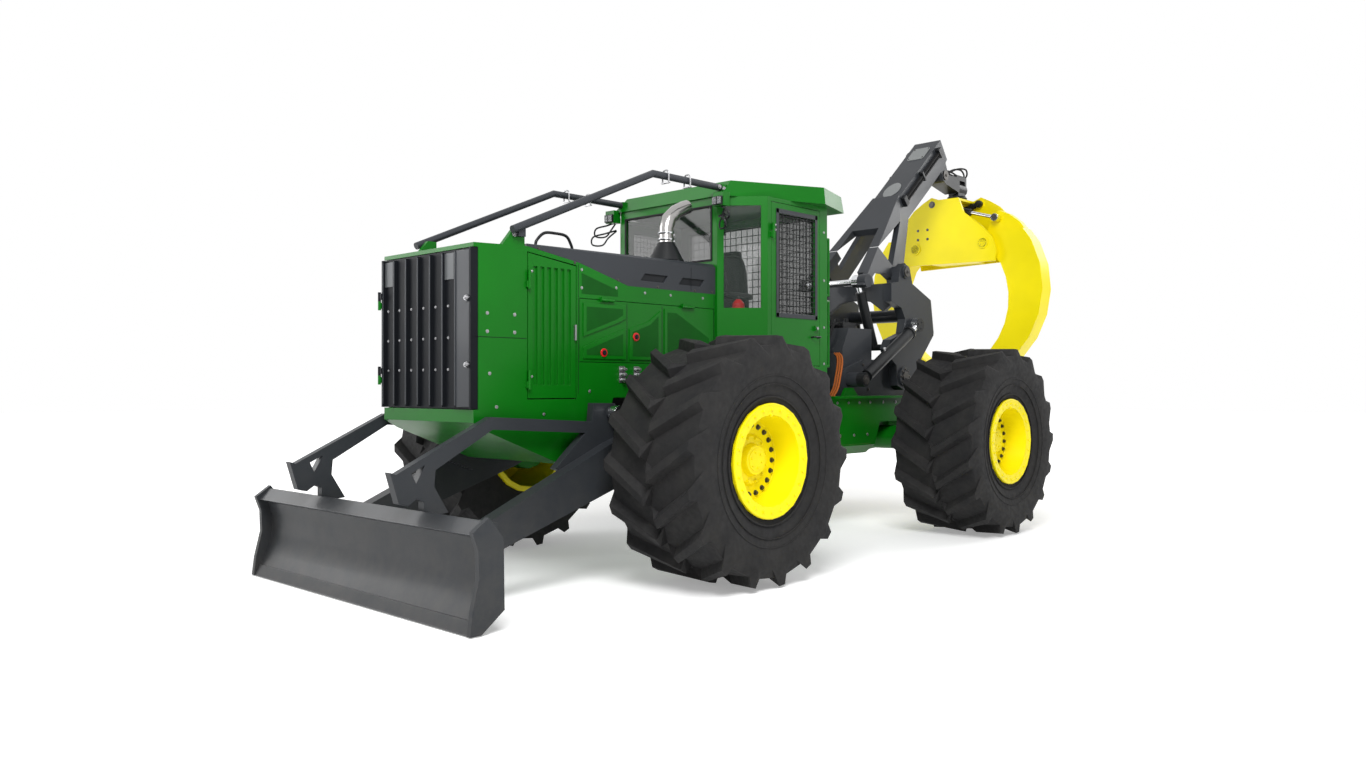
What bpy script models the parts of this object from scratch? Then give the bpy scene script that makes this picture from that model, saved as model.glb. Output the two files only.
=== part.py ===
"""Grapple skidder: an articulated forestry machine with a dozer blade, an arch, a boom and a grapple.

Metres, +Z up. The machine's front faces -Y and its left side is +X. Every place below is measured
from the front axle at ground level, and one empty shifts the whole machine so that the origin lies
in the middle of its footprint. Outlines are tables of (along, up) shares of a named size, counted
from a named point.
"""

import math

import bmesh
import bpy
from mathutils import Matrix, Vector

# Fits and overruns
SEAT_GAP = 0.0003
PIN_GAP = 0.0004
SMOOTH_ANGLE = math.radians(34)
DOOR_GAP = 0.005
OVERRUN = 0.02
ROUND_SIDES = 12
FINE_SIDES = 20

# Whole machine
WHEELBASE = 3.866
HALF_BASE = WHEELBASE / 2
FRONT_REACH = 2.5087
REAR_REACH = 6.355
MIDDLE_Y = (REAR_REACH - FRONT_REACH) / 2

# Tyres and rims
TYRE_RADIUS = 0.953
TREAD_WIDTH = 0.840
TYRE_WIDTH = 0.900
WHEEL_X = 1.448
LUG_COUNT = 17
LUG_HEIGHT = 0.072
SHOULDER_DROP = 0.014
LUG_TOP_WIDTH = 0.070
LUG_FLANK_WIDTH = 0.030
LUG_SWEEP = 0.250
LUG_NOSE_X = 0.030
BULGE_RADIUS = 0.790
FLANK_RADIUS = 0.620
FLANK_X = 0.432
BEAD_RADIUS = 0.4043
BEAD_X = 0.366
LUG_HALF_ANGLE = LUG_TOP_WIDTH / 2 / TYRE_RADIUS
AXLE_Z = TYRE_RADIUS * math.cos(LUG_HALF_ANGLE)
RIM_RADIUS = 0.432
RIM_BARREL_RADIUS = 0.402
RIM_EDGE_X = 0.406
RIM_FLANGE_WIDTH = 0.030
RIM_WALL = 0.020
RIM_FACE_RADIUS = 0.345
DISC_OUTER_X = 0.186
DISC_THICKNESS = 0.050
HUB_RADIUS = 0.200
HUB_CAP_RADIUS = 0.130
HUB_CAP_X = 0.045

# Axles
AXLE_TUBE_RADIUS = 0.130
AXLE_HUB_RADIUS = 0.215
AXLE_HUB_LENGTH = 0.520
AXLE_PUMPKIN_RADIUS = 0.155
AXLE_PUMPKIN_HALF = 0.230
AXLE_PAD_Z = 1.130
AXLE_PAD_HALF_X = 0.280
AXLE_PAD_HALF_Y = 0.200

# Hood
HOOD_FRONT_Y = -1.777
HOOD_REAR_Y = 0.765
HOOD_LENGTH = HOOD_REAR_Y - HOOD_FRONT_Y
HOOD_BELLY_Z = 0.920
HOOD_TOP_Z = 2.585
HOOD_HEIGHT = HOOD_TOP_Z - HOOD_BELLY_Z
HOOD_HALF = 0.600
HOOD_WALL = 0.030
HOOD_TOP_WALL = 0.045
NOSE_REAR_Y = -1.303
HOOD_SIDE_SHARES = (
    (0.000, 0.199), (0.046, 0.159), (0.308, 0.000), (0.455, 0.000), (0.522, 0.300), (1.000, 0.300),
    (1.000, 0.840), (0.585, 0.840), (0.384, 0.925), (0.186, 0.973), (0.000, 0.963),
)
HOOD_INNER_SHARES = ((0.013, 0.222), (0.054, 0.180), (0.312, 0.021), (1.092, 0.021))
HOOD_TOP_SHARES = (
    (0.186, 0.985), (0.186, 0.973), (0.384, 0.925), (0.585, 0.840), (1.000, 0.840), (1.000, 1.000),
)
HOOD_TOP_CHAMFER = 0.050
VENT_LOW_Z = 2.375
VENT_HIGH_Z = 2.435
VENT_DEPTH = 0.015
VENT_SPANS_Y = ((-0.150, 0.170), (0.300, 0.620))
VENT_LEAN = 0.050

# Grille door
GRILLE_LOW_Z = 1.348
GRILLE_HIGH_Z = 2.488
GRILLE_THICKNESS = 0.035
GRILLE_RIB_X = (-0.427, -0.259, -0.094, 0.070, 0.234, 0.398)
GRILLE_RIB_WIDTH = 0.016
GRILLE_RIB_DEPTH = 0.024
GRILLE_RAIL = 0.022
GRILLE_AXIS_OUT_X = 0.014
GRILLE_AXIS_OUT_Y = 0.034

# Side doors of the hood
LOUVRE_SHARES = ((0.1885, 0.300), (0.369, 0.300), (0.369, 0.907), (0.1885, 0.945))
LOUVRE_GAP = 0.008
LOUVRE_GROOVES = 6
LOUVRE_GROOVE_WIDTH = 0.038
LOUVRE_GROOVE_DEPTH = 0.014
LOUVRE_MARGIN_Y = 0.036
LOUVRE_GROOVE_LOW_Z = 1.520
LOUVRE_GROOVE_HIGH_Z = 2.400
SIDE_DOOR_FRONT_Y = -0.800
SIDE_DOOR_REAR_Y = 0.738
SIDE_DOOR_LOW_Z = 1.700
SIDE_DOOR_HIGH_Z = 2.186
SIDE_PANEL_DEPTH = 0.010
SIDE_HINGE_SHARES = (0.2, 0.8)
SIDE_PANEL_SHARES = (
    ((0.020, 0.050), (0.310, 0.050), (0.310, 0.560), (0.100, 0.330), (0.020, 0.230)),
    ((0.020, 0.400), (0.250, 0.640), (0.310, 0.720), (0.310, 0.940), (0.020, 0.940)),
    ((0.340, 0.050), (0.570, 0.050), (0.570, 0.900), (0.480, 0.700), (0.340, 0.560)),
    ((0.600, 0.050), (0.975, 0.050), (0.975, 0.500), (0.700, 0.940), (0.600, 0.940)),
)
DOOR_AXIS_OUT = 0.018
KNUCKLE_RADIUS = 0.012
KNUCKLE_LENGTH = 0.070

# Front frame
FRONT_FRAME_SHARES = (
    (-0.491, 0.0015), (-0.217, 0.0015), (-0.155, 0.0920), (0.155, 0.0920), (0.217, -0.079), (0.838, -0.079),
    (0.838, 0.169), (-0.491, 0.169),
)
FRAME_HALF = 0.360
FORK_LOW_Z = (0.735, 0.795)
FORK_HIGH_Z = (1.2455, 1.305)
TONGUE_LOW_Z = (0.7954, 0.860)
TONGUE_HIGH_Z = (1.180, 1.240)
FORK_HALF = 0.150
FORK_ROOT_Y = 1.560
PIVOT_PIN_RADIUS = 0.050
PIVOT_HOLE_RADIUS = 0.054
TANK_X = (0.590, 0.900)
TANK_Y = (1.000, 1.600)
TANK_Z = (0.980, 1.500)
TANK_CHAMFER = 0.080
TANK_ARM_Y = (1.150, 1.450)
TANK_ARM_Z = (1.050, 1.200)
STEP_Z = (0.640, 0.665)
STEP_Y = (1.080, 1.520)
STEP_X = (0.620, 0.880)
STEP_HANGER = 0.025
CAB_POST_X = 0.200
CAB_POST_HALF = 0.050
CAB_POST_Y = (0.880, 1.550)
ENGINE_HALF = 0.300
ENGINE_Y = (-0.800, 0.420)
ENGINE_Z = (1.2794, 1.980)
BLADE_PIVOT_Y = -0.280
BLADE_PIVOT_Z = 1.030
BLADE_PIN_RADIUS = 0.070
BLADE_HANGER_Y = (-0.380, -0.180)
BLADE_HANGER_Z = (0.945, 1.230)
LIFT_BASE_Y = 0.480
LIFT_BASE_Z = 1.200
LIFT_EYE_Y = -0.600
LIFT_EYE_Z = 1.300
LIFT_X = 0.800
LIFT_BARREL_RADIUS = 0.050
LIFT_ROD_RADIUS = 0.028
LIFT_SHARES = (0.280, 0.600)

# Blade
BLADE_HALF = 1.503
BLADE_PLATE = 0.040
BLADE_HEIGHT = 0.704
BLADE_FRONT_Y = -2.426
BLADE_CLEARANCE_Z = 0.008
END_PLATE_SHARES = (
    (0.000, 0.000), (0.114, 0.000), (0.357, 0.183), (0.347, 0.814), (0.193, 1.000), (0.026, 0.884),
    (0.085, 0.724), (0.094, 0.489), (0.026, 0.206),
)
MOULDBOARD_SHARES = (
    (0.009, 0.000), (0.129, 0.234), (0.193, 0.384), (0.210, 0.540), (0.200, 0.682), (0.165, 0.817),
    (0.058, 0.852), (0.179, 0.969), (0.300, 0.945), (0.300, 0.817), (0.271, 0.682), (0.286, 0.540),
    (0.271, 0.369), (0.193, 0.185), (0.094, 0.000),
)
ARM_LENGTH = 1.900
FORK_PLATE_SHARES = (
    (-1.173, -0.041), (-1.140, -0.150), (-1.104, -0.1600), (-1.070, -0.138), (-1.042, -0.150), (-1.042, -0.205),
    (-0.942, -0.195), (-1.000, -0.100), (-0.995, -0.042), (-0.753, 0.092), (-0.305, 0.066), (-0.458, -0.068), (-0.326, -0.121),
    (-0.116, -0.089), (-0.119, 0.160), (-0.150, 0.183), (-0.261, 0.185), (-0.269, 0.111), (-0.760, 0.139),
    (-1.150, -0.049),
)
FORK_HOLE_SHARES = ((-1.091, -0.048), (-1.073, -0.086), (-1.037, -0.022))
PUSH_ARM_SHARES = (
    (-1.045, -0.437), (-0.063, -0.115), (0.058, -0.058), (0.074, 0.022), (0.021, 0.074), (-0.089, 0.068),
    (-0.228, 0.019), (-1.035, -0.332),
)
FORK_PLATE_X = (0.668, 0.735)
PUSH_ARM_X = (0.725, 0.850)
CROSS_TUBE_Y = -1.900
CROSS_TUBE_Z = 0.420
CROSS_TUBE_RADIUS = 0.075

# Cab
CAB_FRONT_Y = 0.765
CAB_HALF = 0.950
CAB_LENGTH = 1.182
CAB_LOW_Z = 1.620
CAB_FLOOR = 0.040
CAB_HIGH_Z = 3.1797
CAB_WALL = 0.045
CAB_PLAN_SHARES = ((0.653, 0.000), (1.000, 0.250), (1.000, 1.000))
WINDOW_LOW_Z = 2.200
WINDOW_HIGH_Z = 3.100
FRONT_WINDOW_LOW_Z = 2.630
FRONT_WINDOW_HALF = 0.550
CORNER_WINDOW_SHARES = (0.130, 0.870)
REAR_WINDOW_HALF = 0.800
CAB_DOOR_Y = (1.115, 1.826)
CAB_DOOR_Z = (1.700, 3.140)
DOOR_WINDOW_Y = (1.209, 1.760)
DOOR_WINDOW_Z = (2.157, 3.060)
CAB_DOOR_AXIS_OUT = 0.024
CAB_HINGE_Z = (1.900, 2.920)
RAIL_RADIUS = 0.013
RAIL_SIDES = 6
RAIL_OUT_Y = 0.060
RAIL_SPANS_Z = ((2.370, 2.900), (1.700, 2.310))
ROOF_LOW_Z = 3.180
ROOF_HIGH_Z = 3.334
ROOF_LOW_SHARES = ((0.737, -0.021), (0.905, 0.368), (1.142, 0.820), (0.963, 1.273))
ROOF_HIGH_SHARES = ((0.705, 0.106), (0.876, 0.410), (1.125, 0.820), (0.947, 1.253))
LAMP_X = (0.640, 0.760)
LAMP_SIZE_Z = 0.100
LAMP_DEPTH_Y = 0.085
LAMP_FRONT_Y = 0.690
SEAT_Y = 1.420
SEAT_HALF = 0.240
SEAT_PAN_Z = (2.060, 2.180)
SEAT_PAN_DEPTH = 0.480
SEAT_BACK_Z = 2.800
SEAT_BACK_THICKNESS = 0.110
SEAT_POST_HALF = 0.150
ARMREST_Z = (2.330, 2.400)
ARMREST_HALF = 0.045
ARMREST_X = 0.290
CONSOLE_Y = (0.860, 1.000)
CONSOLE_HALF = 0.280
CONSOLE_Z = 2.230
CONSOLE_SCREEN = 0.120

# Brush guards and exhaust
GUARD_X = 0.640
GUARD_RADIUS = 0.030
GUARD_ROUTE_YZ = ((-1.470, 2.640), (-0.050, 3.257), (0.780, 3.257))
GUARD_TAB_Y = (-1.410, -1.350)
GUARD_TAB_Z = (2.600, 2.690)
GUARD_SOCKET_DEPTH = 0.080
GUARD_FOOT_Y = (-1.560, -1.330)
GUARD_FOOT_THICKNESS = 0.040
GUARD_FOOT_TOP_Z = 2.680
STACK_X = 0.420
STACK_Y = 0.330
STACK_CONE_RADIUS = 0.130
STACK_PIPE_RADIUS = 0.062
STACK_CONE_Z = 2.740
STACK_ROUTE_SHARES = ((0.0, 0.0), (0.0, 0.45), (0.12, 0.72), (0.42, 0.92), (0.85, 1.08), (1.0, 1.12))
STACK_RUN_Y = 0.260
STACK_RISE_Z = 0.330

# Rear frame
REAR_FRAME_SHARES = (
    (-0.645, -0.079), (-0.241, -0.079), (-0.169, 0.0920), (0.168, 0.0920), (0.225, -0.048), (0.287, -0.027),
    (0.287, 0.236), (-0.645, 0.236),
)
REAR_FRAME_HALF = 0.500
REAR_KEEL_CHAMFER = 0.110
DECK_Z = 1.410
FLANGE_HALF = 0.560
FLANGE_THICKNESS = 0.025
NECK_HALF = 0.280
NECK_Y = (2.170, 2.700)
TONGUE_HALF = 0.150
EAR_HALF = 0.470
EAR_Y = (2.060, 2.260)
GUSSET_SHARES = ((-0.530, 0.236), (-0.370, 0.236), (-0.430, 0.291), (-0.490, 0.291))
STEER_BASE_X = 0.420
STEER_BASE_Y = 0.700
STEER_EYE_X = 0.420
STEER_EYE_Y = 2.120
STEER_Z = (1.331, 1.411)
STEER_BARREL_RADIUS = 0.038
STEER_ROD_RADIUS = 0.022
STEER_EYE_RADIUS = 0.052
STEER_SHARES = (0.350, 0.680)

# Arch base, arch and their cylinders
ARCH_PIVOT_Y = 3.950
ARCH_PIVOT_Z = 1.620
ARCH_HEIGHT = 1.160
ARCH_BASE_SHARES = (
    (-0.991, -0.1807), (-0.991, -0.086), (-0.879, 0.052), (-0.560, 0.155), (-0.181, 0.155), (0.060, 0.121),
    (0.147, 0.000), (0.147, -0.1807),
)
ARCH_BASE_X = (0.400, 0.4466)
TOWER_Y = (2.960, 3.500)
TOWER_TOP_Z = 2.130
TOWER_CHAMFER = 0.110
ARCH_X = (0.447, 0.545)
ARCH_SHARES = (
    (-0.112, -0.086), (0.000, -0.129), (0.121, -0.086), (0.276, 0.129), (0.552, 0.414), (0.500, 0.759),
    (0.155, 0.897), (0.121, 1.000), (0.026, 1.086), (-0.069, 1.017), (-0.095, 0.897), (-0.216, 0.879),
    (-0.216, 0.707), (-0.043, 0.655), (0.026, 0.552), (-0.009, 0.414), (-0.233, 0.345), (-0.284, 0.259),
    (-0.233, 0.172), (-0.129, 0.103),
)
CROSS_PLATE_Y = (3.800, 3.860)
CROSS_PLATE_SHARES = (
    (-1.0, 0.680), (-0.8, 0.620), (-0.45, 0.720), (-0.2, 0.740), (0.2, 0.740), (0.45, 0.720), (0.8, 0.620),
    (1.0, 0.680), (1.0, 0.890), (-1.0, 0.890),
)
REAR_TUBE_Y = 4.400
REAR_TUBE_Z = 2.330
REAR_TUBE_RADIUS = 0.075
ARCH_BOSS_RADIUS = 0.110
CYLINDER_X = 0.620
ARCH_BARREL_RADIUS = 0.065
ARCH_ROD_RADIUS = 0.036
ARCH_CYLINDER_SHARES = (0.170, 0.860)
ARCH_BASE_PIN = (3.033, 1.581)
ARCH_HEAD_PIN = (4.110, 2.194)
EYE_RADIUS = 0.075
EYE_WIDTH = 0.076

# Boom
BOOM_PIVOT_Y = 3.980
BOOM_PIVOT_Z = 2.780
BOOM_LENGTH = 2.000
BOOM_FOOT = (3.410, 2.650)
BOOM_LUG = (3.720, 1.940)
BOOM_HALF_TOP = 0.180
BOOM_HALF_FOOT = 0.440
BOOM_PLATE = 0.045
BOOM_BASE_SHARES = {"front": (-0.335, -0.090), "rear": (0.050, -0.060)}
BOOM_ELBOW_SHARES = {"front": (0.230, 0.485), "rear": (0.335, 0.360)}
BEAM_SHARES = ((0.185, 0.430), (0.300, 0.330), (0.570, 0.562), (0.740, 0.715), (0.785, 0.780), (0.705, 0.887))
BOOM_CROTCH_SHARES = (
    (-0.230, -0.140), (-0.040, -0.140), (-0.040, -0.040), (-0.090, -0.010), (-0.190, -0.010), (-0.230, -0.040),
)
BOOM_POCKET_SHARES = ((-0.350, -0.120), (-0.240, -0.120), (-0.240, -0.040), (-0.255, -0.015), (-0.350, -0.015))
BOOM_POCKET_HALF = 0.345
BOOM_SIDE_CUT_SHARES = ((-0.110, 0.140), (-0.005, 0.040), (0.180, 0.320))
BOOM_WINDOW_SHARES = (0.100, 0.620, 0.640)
BOOM_CYLINDER_X = 0.300
BOOM_EYE_RADIUS = 0.070
BOOM_MOUTH_SHARE = 0.840
BOOM_BARREL_RADIUS = 0.055
BOOM_ROD_RADIUS = 0.030
BOOM_SHAFT_RADIUS = 0.035
TIP_LUG_X = (0.100, 0.140)
TIP_PIN = (5.580, 4.150)
TIP_LUG_RADIUS = 0.085

# Crosshead, rotator and grapple
GRAPPLE_Y = 6.120
GRAPPLE_DEPTH = 0.440
SWING_PIN_Y = GRAPPLE_Y
SWING_PIN_Z = 4.060
CROSS_HALF = 0.100
LINK_THICKNESS = 0.130
SWING_FORK_Y = (0.085, 0.125)
SWING_RADIUS = 0.085
SWING_STEM_HALF = 0.070
ROTATOR_RADIUS = 0.120
ROTATOR_Z = (3.9164, 3.965)
TONG_PIVOT_X = 0.477
TONG_PIVOT_Z = 3.307
GRAPPLE_RADIUS = 1.207
GRAPPLE_PLATE = 0.030
BODY_SHARES = (
    (-0.597, -0.171), (0.530, -0.196), (0.547, -0.089), (0.497, 0.060), (0.387, 0.176), (0.182, 0.342),
    (0.116, 0.506), (-0.116, 0.508), (-0.199, 0.541), (-0.298, 0.491), (-0.414, 0.417), (-0.514, 0.309),
    (-0.572, 0.094),
)
BODY_FLOOR_HALF_SHARE = 0.250
BODY_TOP_HALF = 0.140
BODY_TOP_Z = (3.886, 3.916)
TONG_OUTER_CENTRE = (0.000, 2.735)
TONG_OUTER_RADIUS = 1.207
TONG_INNER_CENTRE = (-0.178, 2.610)
TONG_INNER_RADIUS = 0.949
TONG_HEAD_SHARES = ((0.505, 0.345), (0.620, 0.290), (0.735, 0.200))
TONG_ROOT_SHARES = ((0.549, -0.212), (0.440, -0.085), (0.325, -0.030), (0.325, 0.060), (0.425, 0.230))
TONG_ARC_STEPS = 9
TONG_TIP_GAP = 0.012
TONG_HALF_Y = 0.120
TONG_LEVER_HALF_Y = 0.055
TONG_LEVER_LOW_Z = 3.460
TONG_LEVER = (0.605, 3.620)
CLAMP_BASE = (-0.234, 3.868)
CLAMP_Y = 0.144
CLAMP_BARREL_RADIUS = 0.040
CLAMP_ROD_RADIUS = 0.022
CLAMP_EYE_RADIUS = 0.048
CLAMP_SHARES = (0.480, 0.610)

# Finishes: colour, roughness, metallic
FINISHES = {
    "green_paint": ((0.020, 0.230, 0.020), 0.35, 0.0),
    "grey_paint": ((0.075, 0.085, 0.095), 0.45, 0.0),
    "yellow_paint": ((0.900, 0.750, 0.010), 0.35, 0.0),
    "black_metal": ((0.015, 0.015, 0.017), 0.50, 0.3),
    "chrome_rod": ((0.700, 0.700, 0.720), 0.15, 1.0),
    "tyre_rubber": ((0.025, 0.025, 0.026), 0.85, 0.0),
    "black_vinyl": ((0.018, 0.018, 0.018), 0.60, 0.0),
    "exhaust_steel": ((0.060, 0.058, 0.055), 0.40, 0.8),
}


def clear_scene():
    """Remove whatever the scene holds."""
    for item in list(bpy.data.objects):
        bpy.data.objects.remove(item, do_unlink=True)


def make_finish(name):
    """A plain painted, metal or rubber material."""
    colour, roughness, metallic = FINISHES[name]
    material = bpy.data.materials.new(name)
    material.use_nodes = True
    shader = material.node_tree.nodes["Principled BSDF"]
    shader.inputs["Base Color"].default_value = (*colour, 1.0)
    shader.inputs["Roughness"].default_value = roughness
    shader.inputs["Metallic"].default_value = metallic
    return material


# Solids

def mesh_of(shape, name="solid"):
    """Turn a bmesh into a mesh with its faces pointing out."""
    bmesh.ops.recalc_face_normals(shape, faces=shape.faces)
    mesh = bpy.data.meshes.new(name)
    shape.to_mesh(mesh)
    shape.free()
    return mesh


def prism(points, low, high, place):
    """Extrude an outline from low to high; place maps (along, up, depth) to (x, y, z)."""
    shape = bmesh.new()
    near = [shape.verts.new(place(a, b, low)) for a, b in points]
    far = [shape.verts.new(place(a, b, high)) for a, b in points]
    shape.faces.new(near)
    shape.faces.new(far)
    for index in range(len(points)):
        following = (index + 1) % len(points)
        shape.faces.new((near[index], near[following], far[following], far[index]))
    return mesh_of(shape)


def plate_x(points, low, high):
    """A plate in the YZ plane, from x = low to x = high."""
    return prism(points, low, high, lambda a, b, depth: (depth, a, b))


def plate_y(points, low, high):
    """A plate in the XZ plane, from y = low to y = high."""
    return prism(points, low, high, lambda a, b, depth: (a, depth, b))


def plate_z(points, low, high):
    """A plate in the XY plane, from z = low to z = high."""
    return prism(points, low, high, lambda a, b, depth: (a, b, depth))


def block(span_x, span_y, span_z):
    """A box between three pairs of limits."""
    (y0, y1), (z0, z1) = span_y, span_z
    return plate_x([(y0, z0), (y1, z0), (y1, z1), (y0, z1)], span_x[0], span_x[1])


def chamfered_block(span_x, span_y, span_z, chamfer):
    """A box whose four edges along X are chamfered."""
    (y0, y1), (z0, z1) = span_y, span_z
    points = [
        (y0 + chamfer, z0), (y1 - chamfer, z0), (y1, z0 + chamfer), (y1, z1 - chamfer),
        (y1 - chamfer, z1), (y0 + chamfer, z1), (y0, z1 - chamfer), (y0, z0 + chamfer),
    ]
    return plate_x(points, span_x[0], span_x[1])


def hull(points):
    """The closed convex solid round some points."""
    shape = bmesh.new()
    for point in points:
        shape.verts.new(point)
    result = bmesh.ops.convex_hull(shape, input=shape.verts)
    loose = [item for item in result["geom_interior"] if isinstance(item, bmesh.types.BMVert)]
    bmesh.ops.delete(shape, geom=loose, context="VERTS")
    return mesh_of(shape)


def rod(start, end, radius, sides=ROUND_SIDES, end_radius=None):
    """A round bar, or a cone where end_radius is given, between two points."""
    start, end = Vector(start), Vector(end)
    direction = end - start
    shape = bmesh.new()
    bmesh.ops.create_cone(
        shape, cap_ends=True, segments=sides, radius1=radius,
        radius2=radius if end_radius is None else end_radius, depth=direction.length,
    )
    turn = direction.to_track_quat("Z", "Y").to_matrix().to_4x4()
    bmesh.ops.transform(shape, matrix=Matrix.Translation((start + end) / 2) @ turn, verts=shape.verts)
    return mesh_of(shape)


def tube(points, radius, sides=ROUND_SIDES):
    """A round bar swept along a polyline, mitred at its bends."""
    points = [Vector(point) for point in points]
    legs = [(far - near).normalized() for near, far in zip(points, points[1:])]
    across = legs[0].orthogonal().normalized()
    shape = bmesh.new()
    rings = []
    for index, point in enumerate(points):
        before, after = legs[max(index - 1, 0)], legs[min(index, len(legs) - 1)]
        mitre = (before + after).normalized()
        up = before.cross(across).normalized()
        ring = []
        for step in range(sides):
            angle = 2 * math.pi * step / sides
            spoke = across * radius * math.cos(angle) + up * radius * math.sin(angle)
            ring.append(shape.verts.new(point + spoke - before * (spoke.dot(mitre) / before.dot(mitre))))
        rings.append(ring)
        across = before.rotation_difference(after) @ across
    for near, far in zip(rings, rings[1:]):
        for step in range(sides):
            following = (step + 1) % sides
            shape.faces.new((near[step], near[following], far[following], far[step]))
    shape.faces.new(rings[0])
    shape.faces.new(rings[-1])
    return mesh_of(shape)


def revolve(profile, segments, centre, direction):
    """Turn a profile of (along X, radius) pairs round an X axis; its ends lie on the axis."""
    shape = bmesh.new()
    rings = []
    for along, radius in profile:
        x = centre[0] + direction * along
        if radius == 0:
            rings.append([shape.verts.new((x, centre[1], centre[2]))])
            continue
        ring = []
        for index in range(segments):
            angle = 2 * math.pi * index / segments
            ring.append(shape.verts.new((
                x, centre[1] + radius * math.cos(angle), centre[2] + radius * math.sin(angle),
            )))
        rings.append(ring)
    for near, far in zip(rings, rings[1:]):
        for index in range(segments):
            following = (index + 1) % segments
            corners = [near[index % len(near)], near[following % len(near)]]
            corners += [far[following % len(far)], far[index % len(far)]]
            shape.faces.new(list(dict.fromkeys(corners)))
    return mesh_of(shape)


def combine(base, add=(), cut=()):
    """Unite the base with each of add, then cut each of cut out of it."""
    holder = bpy.data.objects.new("holder", base)
    bpy.context.scene.collection.objects.link(holder)
    tools = []
    for operation, meshes in (("UNION", add), ("DIFFERENCE", cut)):
        for mesh in meshes:
            tool = bpy.data.objects.new("tool", mesh)
            bpy.context.scene.collection.objects.link(tool)
            modifier = holder.modifiers.new(operation, "BOOLEAN")
            modifier.operation = operation
            modifier.object = tool
            tools.append(tool)
    graph = bpy.context.evaluated_depsgraph_get()
    mesh = bpy.data.meshes.new_from_object(holder.evaluated_get(graph))
    for item in tools + [holder]:
        bpy.data.objects.remove(item, do_unlink=True)
    return mesh


def from_shares(shares, origin, size):
    """Points at shares of a size, or of a (length, height) pair, counted from an origin."""
    length, height = size if isinstance(size, tuple) else (size, size)
    return [(origin[0] + a * length, origin[1] + b * height) for a, b in shares]


def eye(place, axis, half_width, radius):
    """A cylinder's eye: a short round boss about a pin."""
    offset = Vector(axis) * half_width
    centre = Vector(place)
    return rod(centre - offset, centre + offset, radius)


# Bodies and nodes

class Machine:
    """The empties that carry the moving bodies, and the nodes that ride on them."""

    def __init__(self):
        self.finishes = {name: make_finish(name) for name in FINISHES}
        self.places = {}
        self.empties = {}
        self.add_body("root", None, (0, 0, 0))
        self.empties["root"].location = (0, -MIDDLE_Y, 0)

    def add_body(self, name, parent, place):
        """An empty at a joint's own place, which its pieces and its children follow."""
        empty = bpy.data.objects.new("body_" + name, None)
        bpy.context.scene.collection.objects.link(empty)
        if parent:
            empty.parent = self.empties[parent]
            empty.location = Vector(place) - self.places[parent]
        self.places[name] = Vector(place)
        self.empties[name] = empty

    def add_node(self, name, mesh, finish, body="root"):
        """One named solid, its origin on its body's joint."""
        mesh.name = name
        mesh.transform(Matrix.Translation(-self.places[body]))
        mesh.shade_smooth()
        mesh.set_sharp_from_angle(angle=SMOOTH_ANGLE)
        own = self.finishes[finish].copy()
        own.name = name + "_" + finish
        mesh.materials.clear()
        mesh.materials.append(own)
        node = bpy.data.objects.new(name, mesh)
        bpy.context.scene.collection.objects.link(node)
        node.parent = self.empties[body]


SIDES = (("left", 1), ("right", -1))


def side_span(span, side):
    """A pair of limits on the +X side, carried to the other side where side is -1."""
    return tuple(sorted((span[0] * side, span[1] * side)))


# Wheels

def lug_ring(shape, centre, half_x, side, sweep, lug_radius, base_radius):
    """The four corners of every lug and groove round one circle of a tyre's tread."""
    pitch = 2 * math.pi / LUG_COUNT
    flank = LUG_FLANK_WIDTH / TYRE_RADIUS
    columns = (
        (-LUG_HALF_ANGLE - flank, base_radius), (-LUG_HALF_ANGLE, lug_radius),
        (LUG_HALF_ANGLE, lug_radius), (LUG_HALF_ANGLE + flank, base_radius),
    )
    ring = []
    for index in range(LUG_COUNT):
        start = pitch * (index if side > 0 else index + 0.5) - math.pi / 2 - sweep
        for offset, radius in columns:
            angle = start + offset
            spot = (centre[0] + side * half_x, centre[1] + radius * math.cos(angle),
                    centre[2] + radius * math.sin(angle))
            ring.append((angle, shape.verts.new(spot)))
    return ring


def wall_ring(shape, centre, half_x, side, sweep, radius):
    """Two points to each lug, round one circle of a tyre's wall."""
    step = math.pi / LUG_COUNT
    ring = []
    for index in range(2 * LUG_COUNT):
        angle = step * index - math.pi / 2 - sweep
        spot = (centre[0] + side * half_x, centre[1] + radius * math.cos(angle),
                centre[2] + radius * math.sin(angle))
        ring.append((angle, shape.verts.new(spot)))
    return ring


def stitch(shape, first, second):
    """Fill the band between two closed rings of (angle, vertex) with triangles."""
    turn = 2 * math.pi
    start = min(range(len(second)), key=lambda j: abs((second[j][0] - first[0][0] + math.pi) % turn - math.pi))
    second = second[start:] + [(angle + turn, vertex) for angle, vertex in second[:start]]
    while second[0][0] - first[0][0] > math.pi:
        second = [(angle - turn, vertex) for angle, vertex in second]
    while first[0][0] - second[0][0] > math.pi:
        second = [(angle + turn, vertex) for angle, vertex in second]

    def spot(ring, index):
        return ring[index % len(ring)][0] + turn * (index // len(ring))

    i = j = 0
    while i < len(first) or j < len(second):
        if j >= len(second) or (i < len(first) and spot(first, i + 1) <= spot(second, j + 1)):
            corners = (first[i % len(first)][1], first[(i + 1) % len(first)][1], second[j % len(second)][1])
            i += 1
        else:
            corners = (first[i % len(first)][1], second[(j + 1) % len(second)][1], second[j % len(second)][1])
            j += 1
        shape.faces.new(corners)


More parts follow.
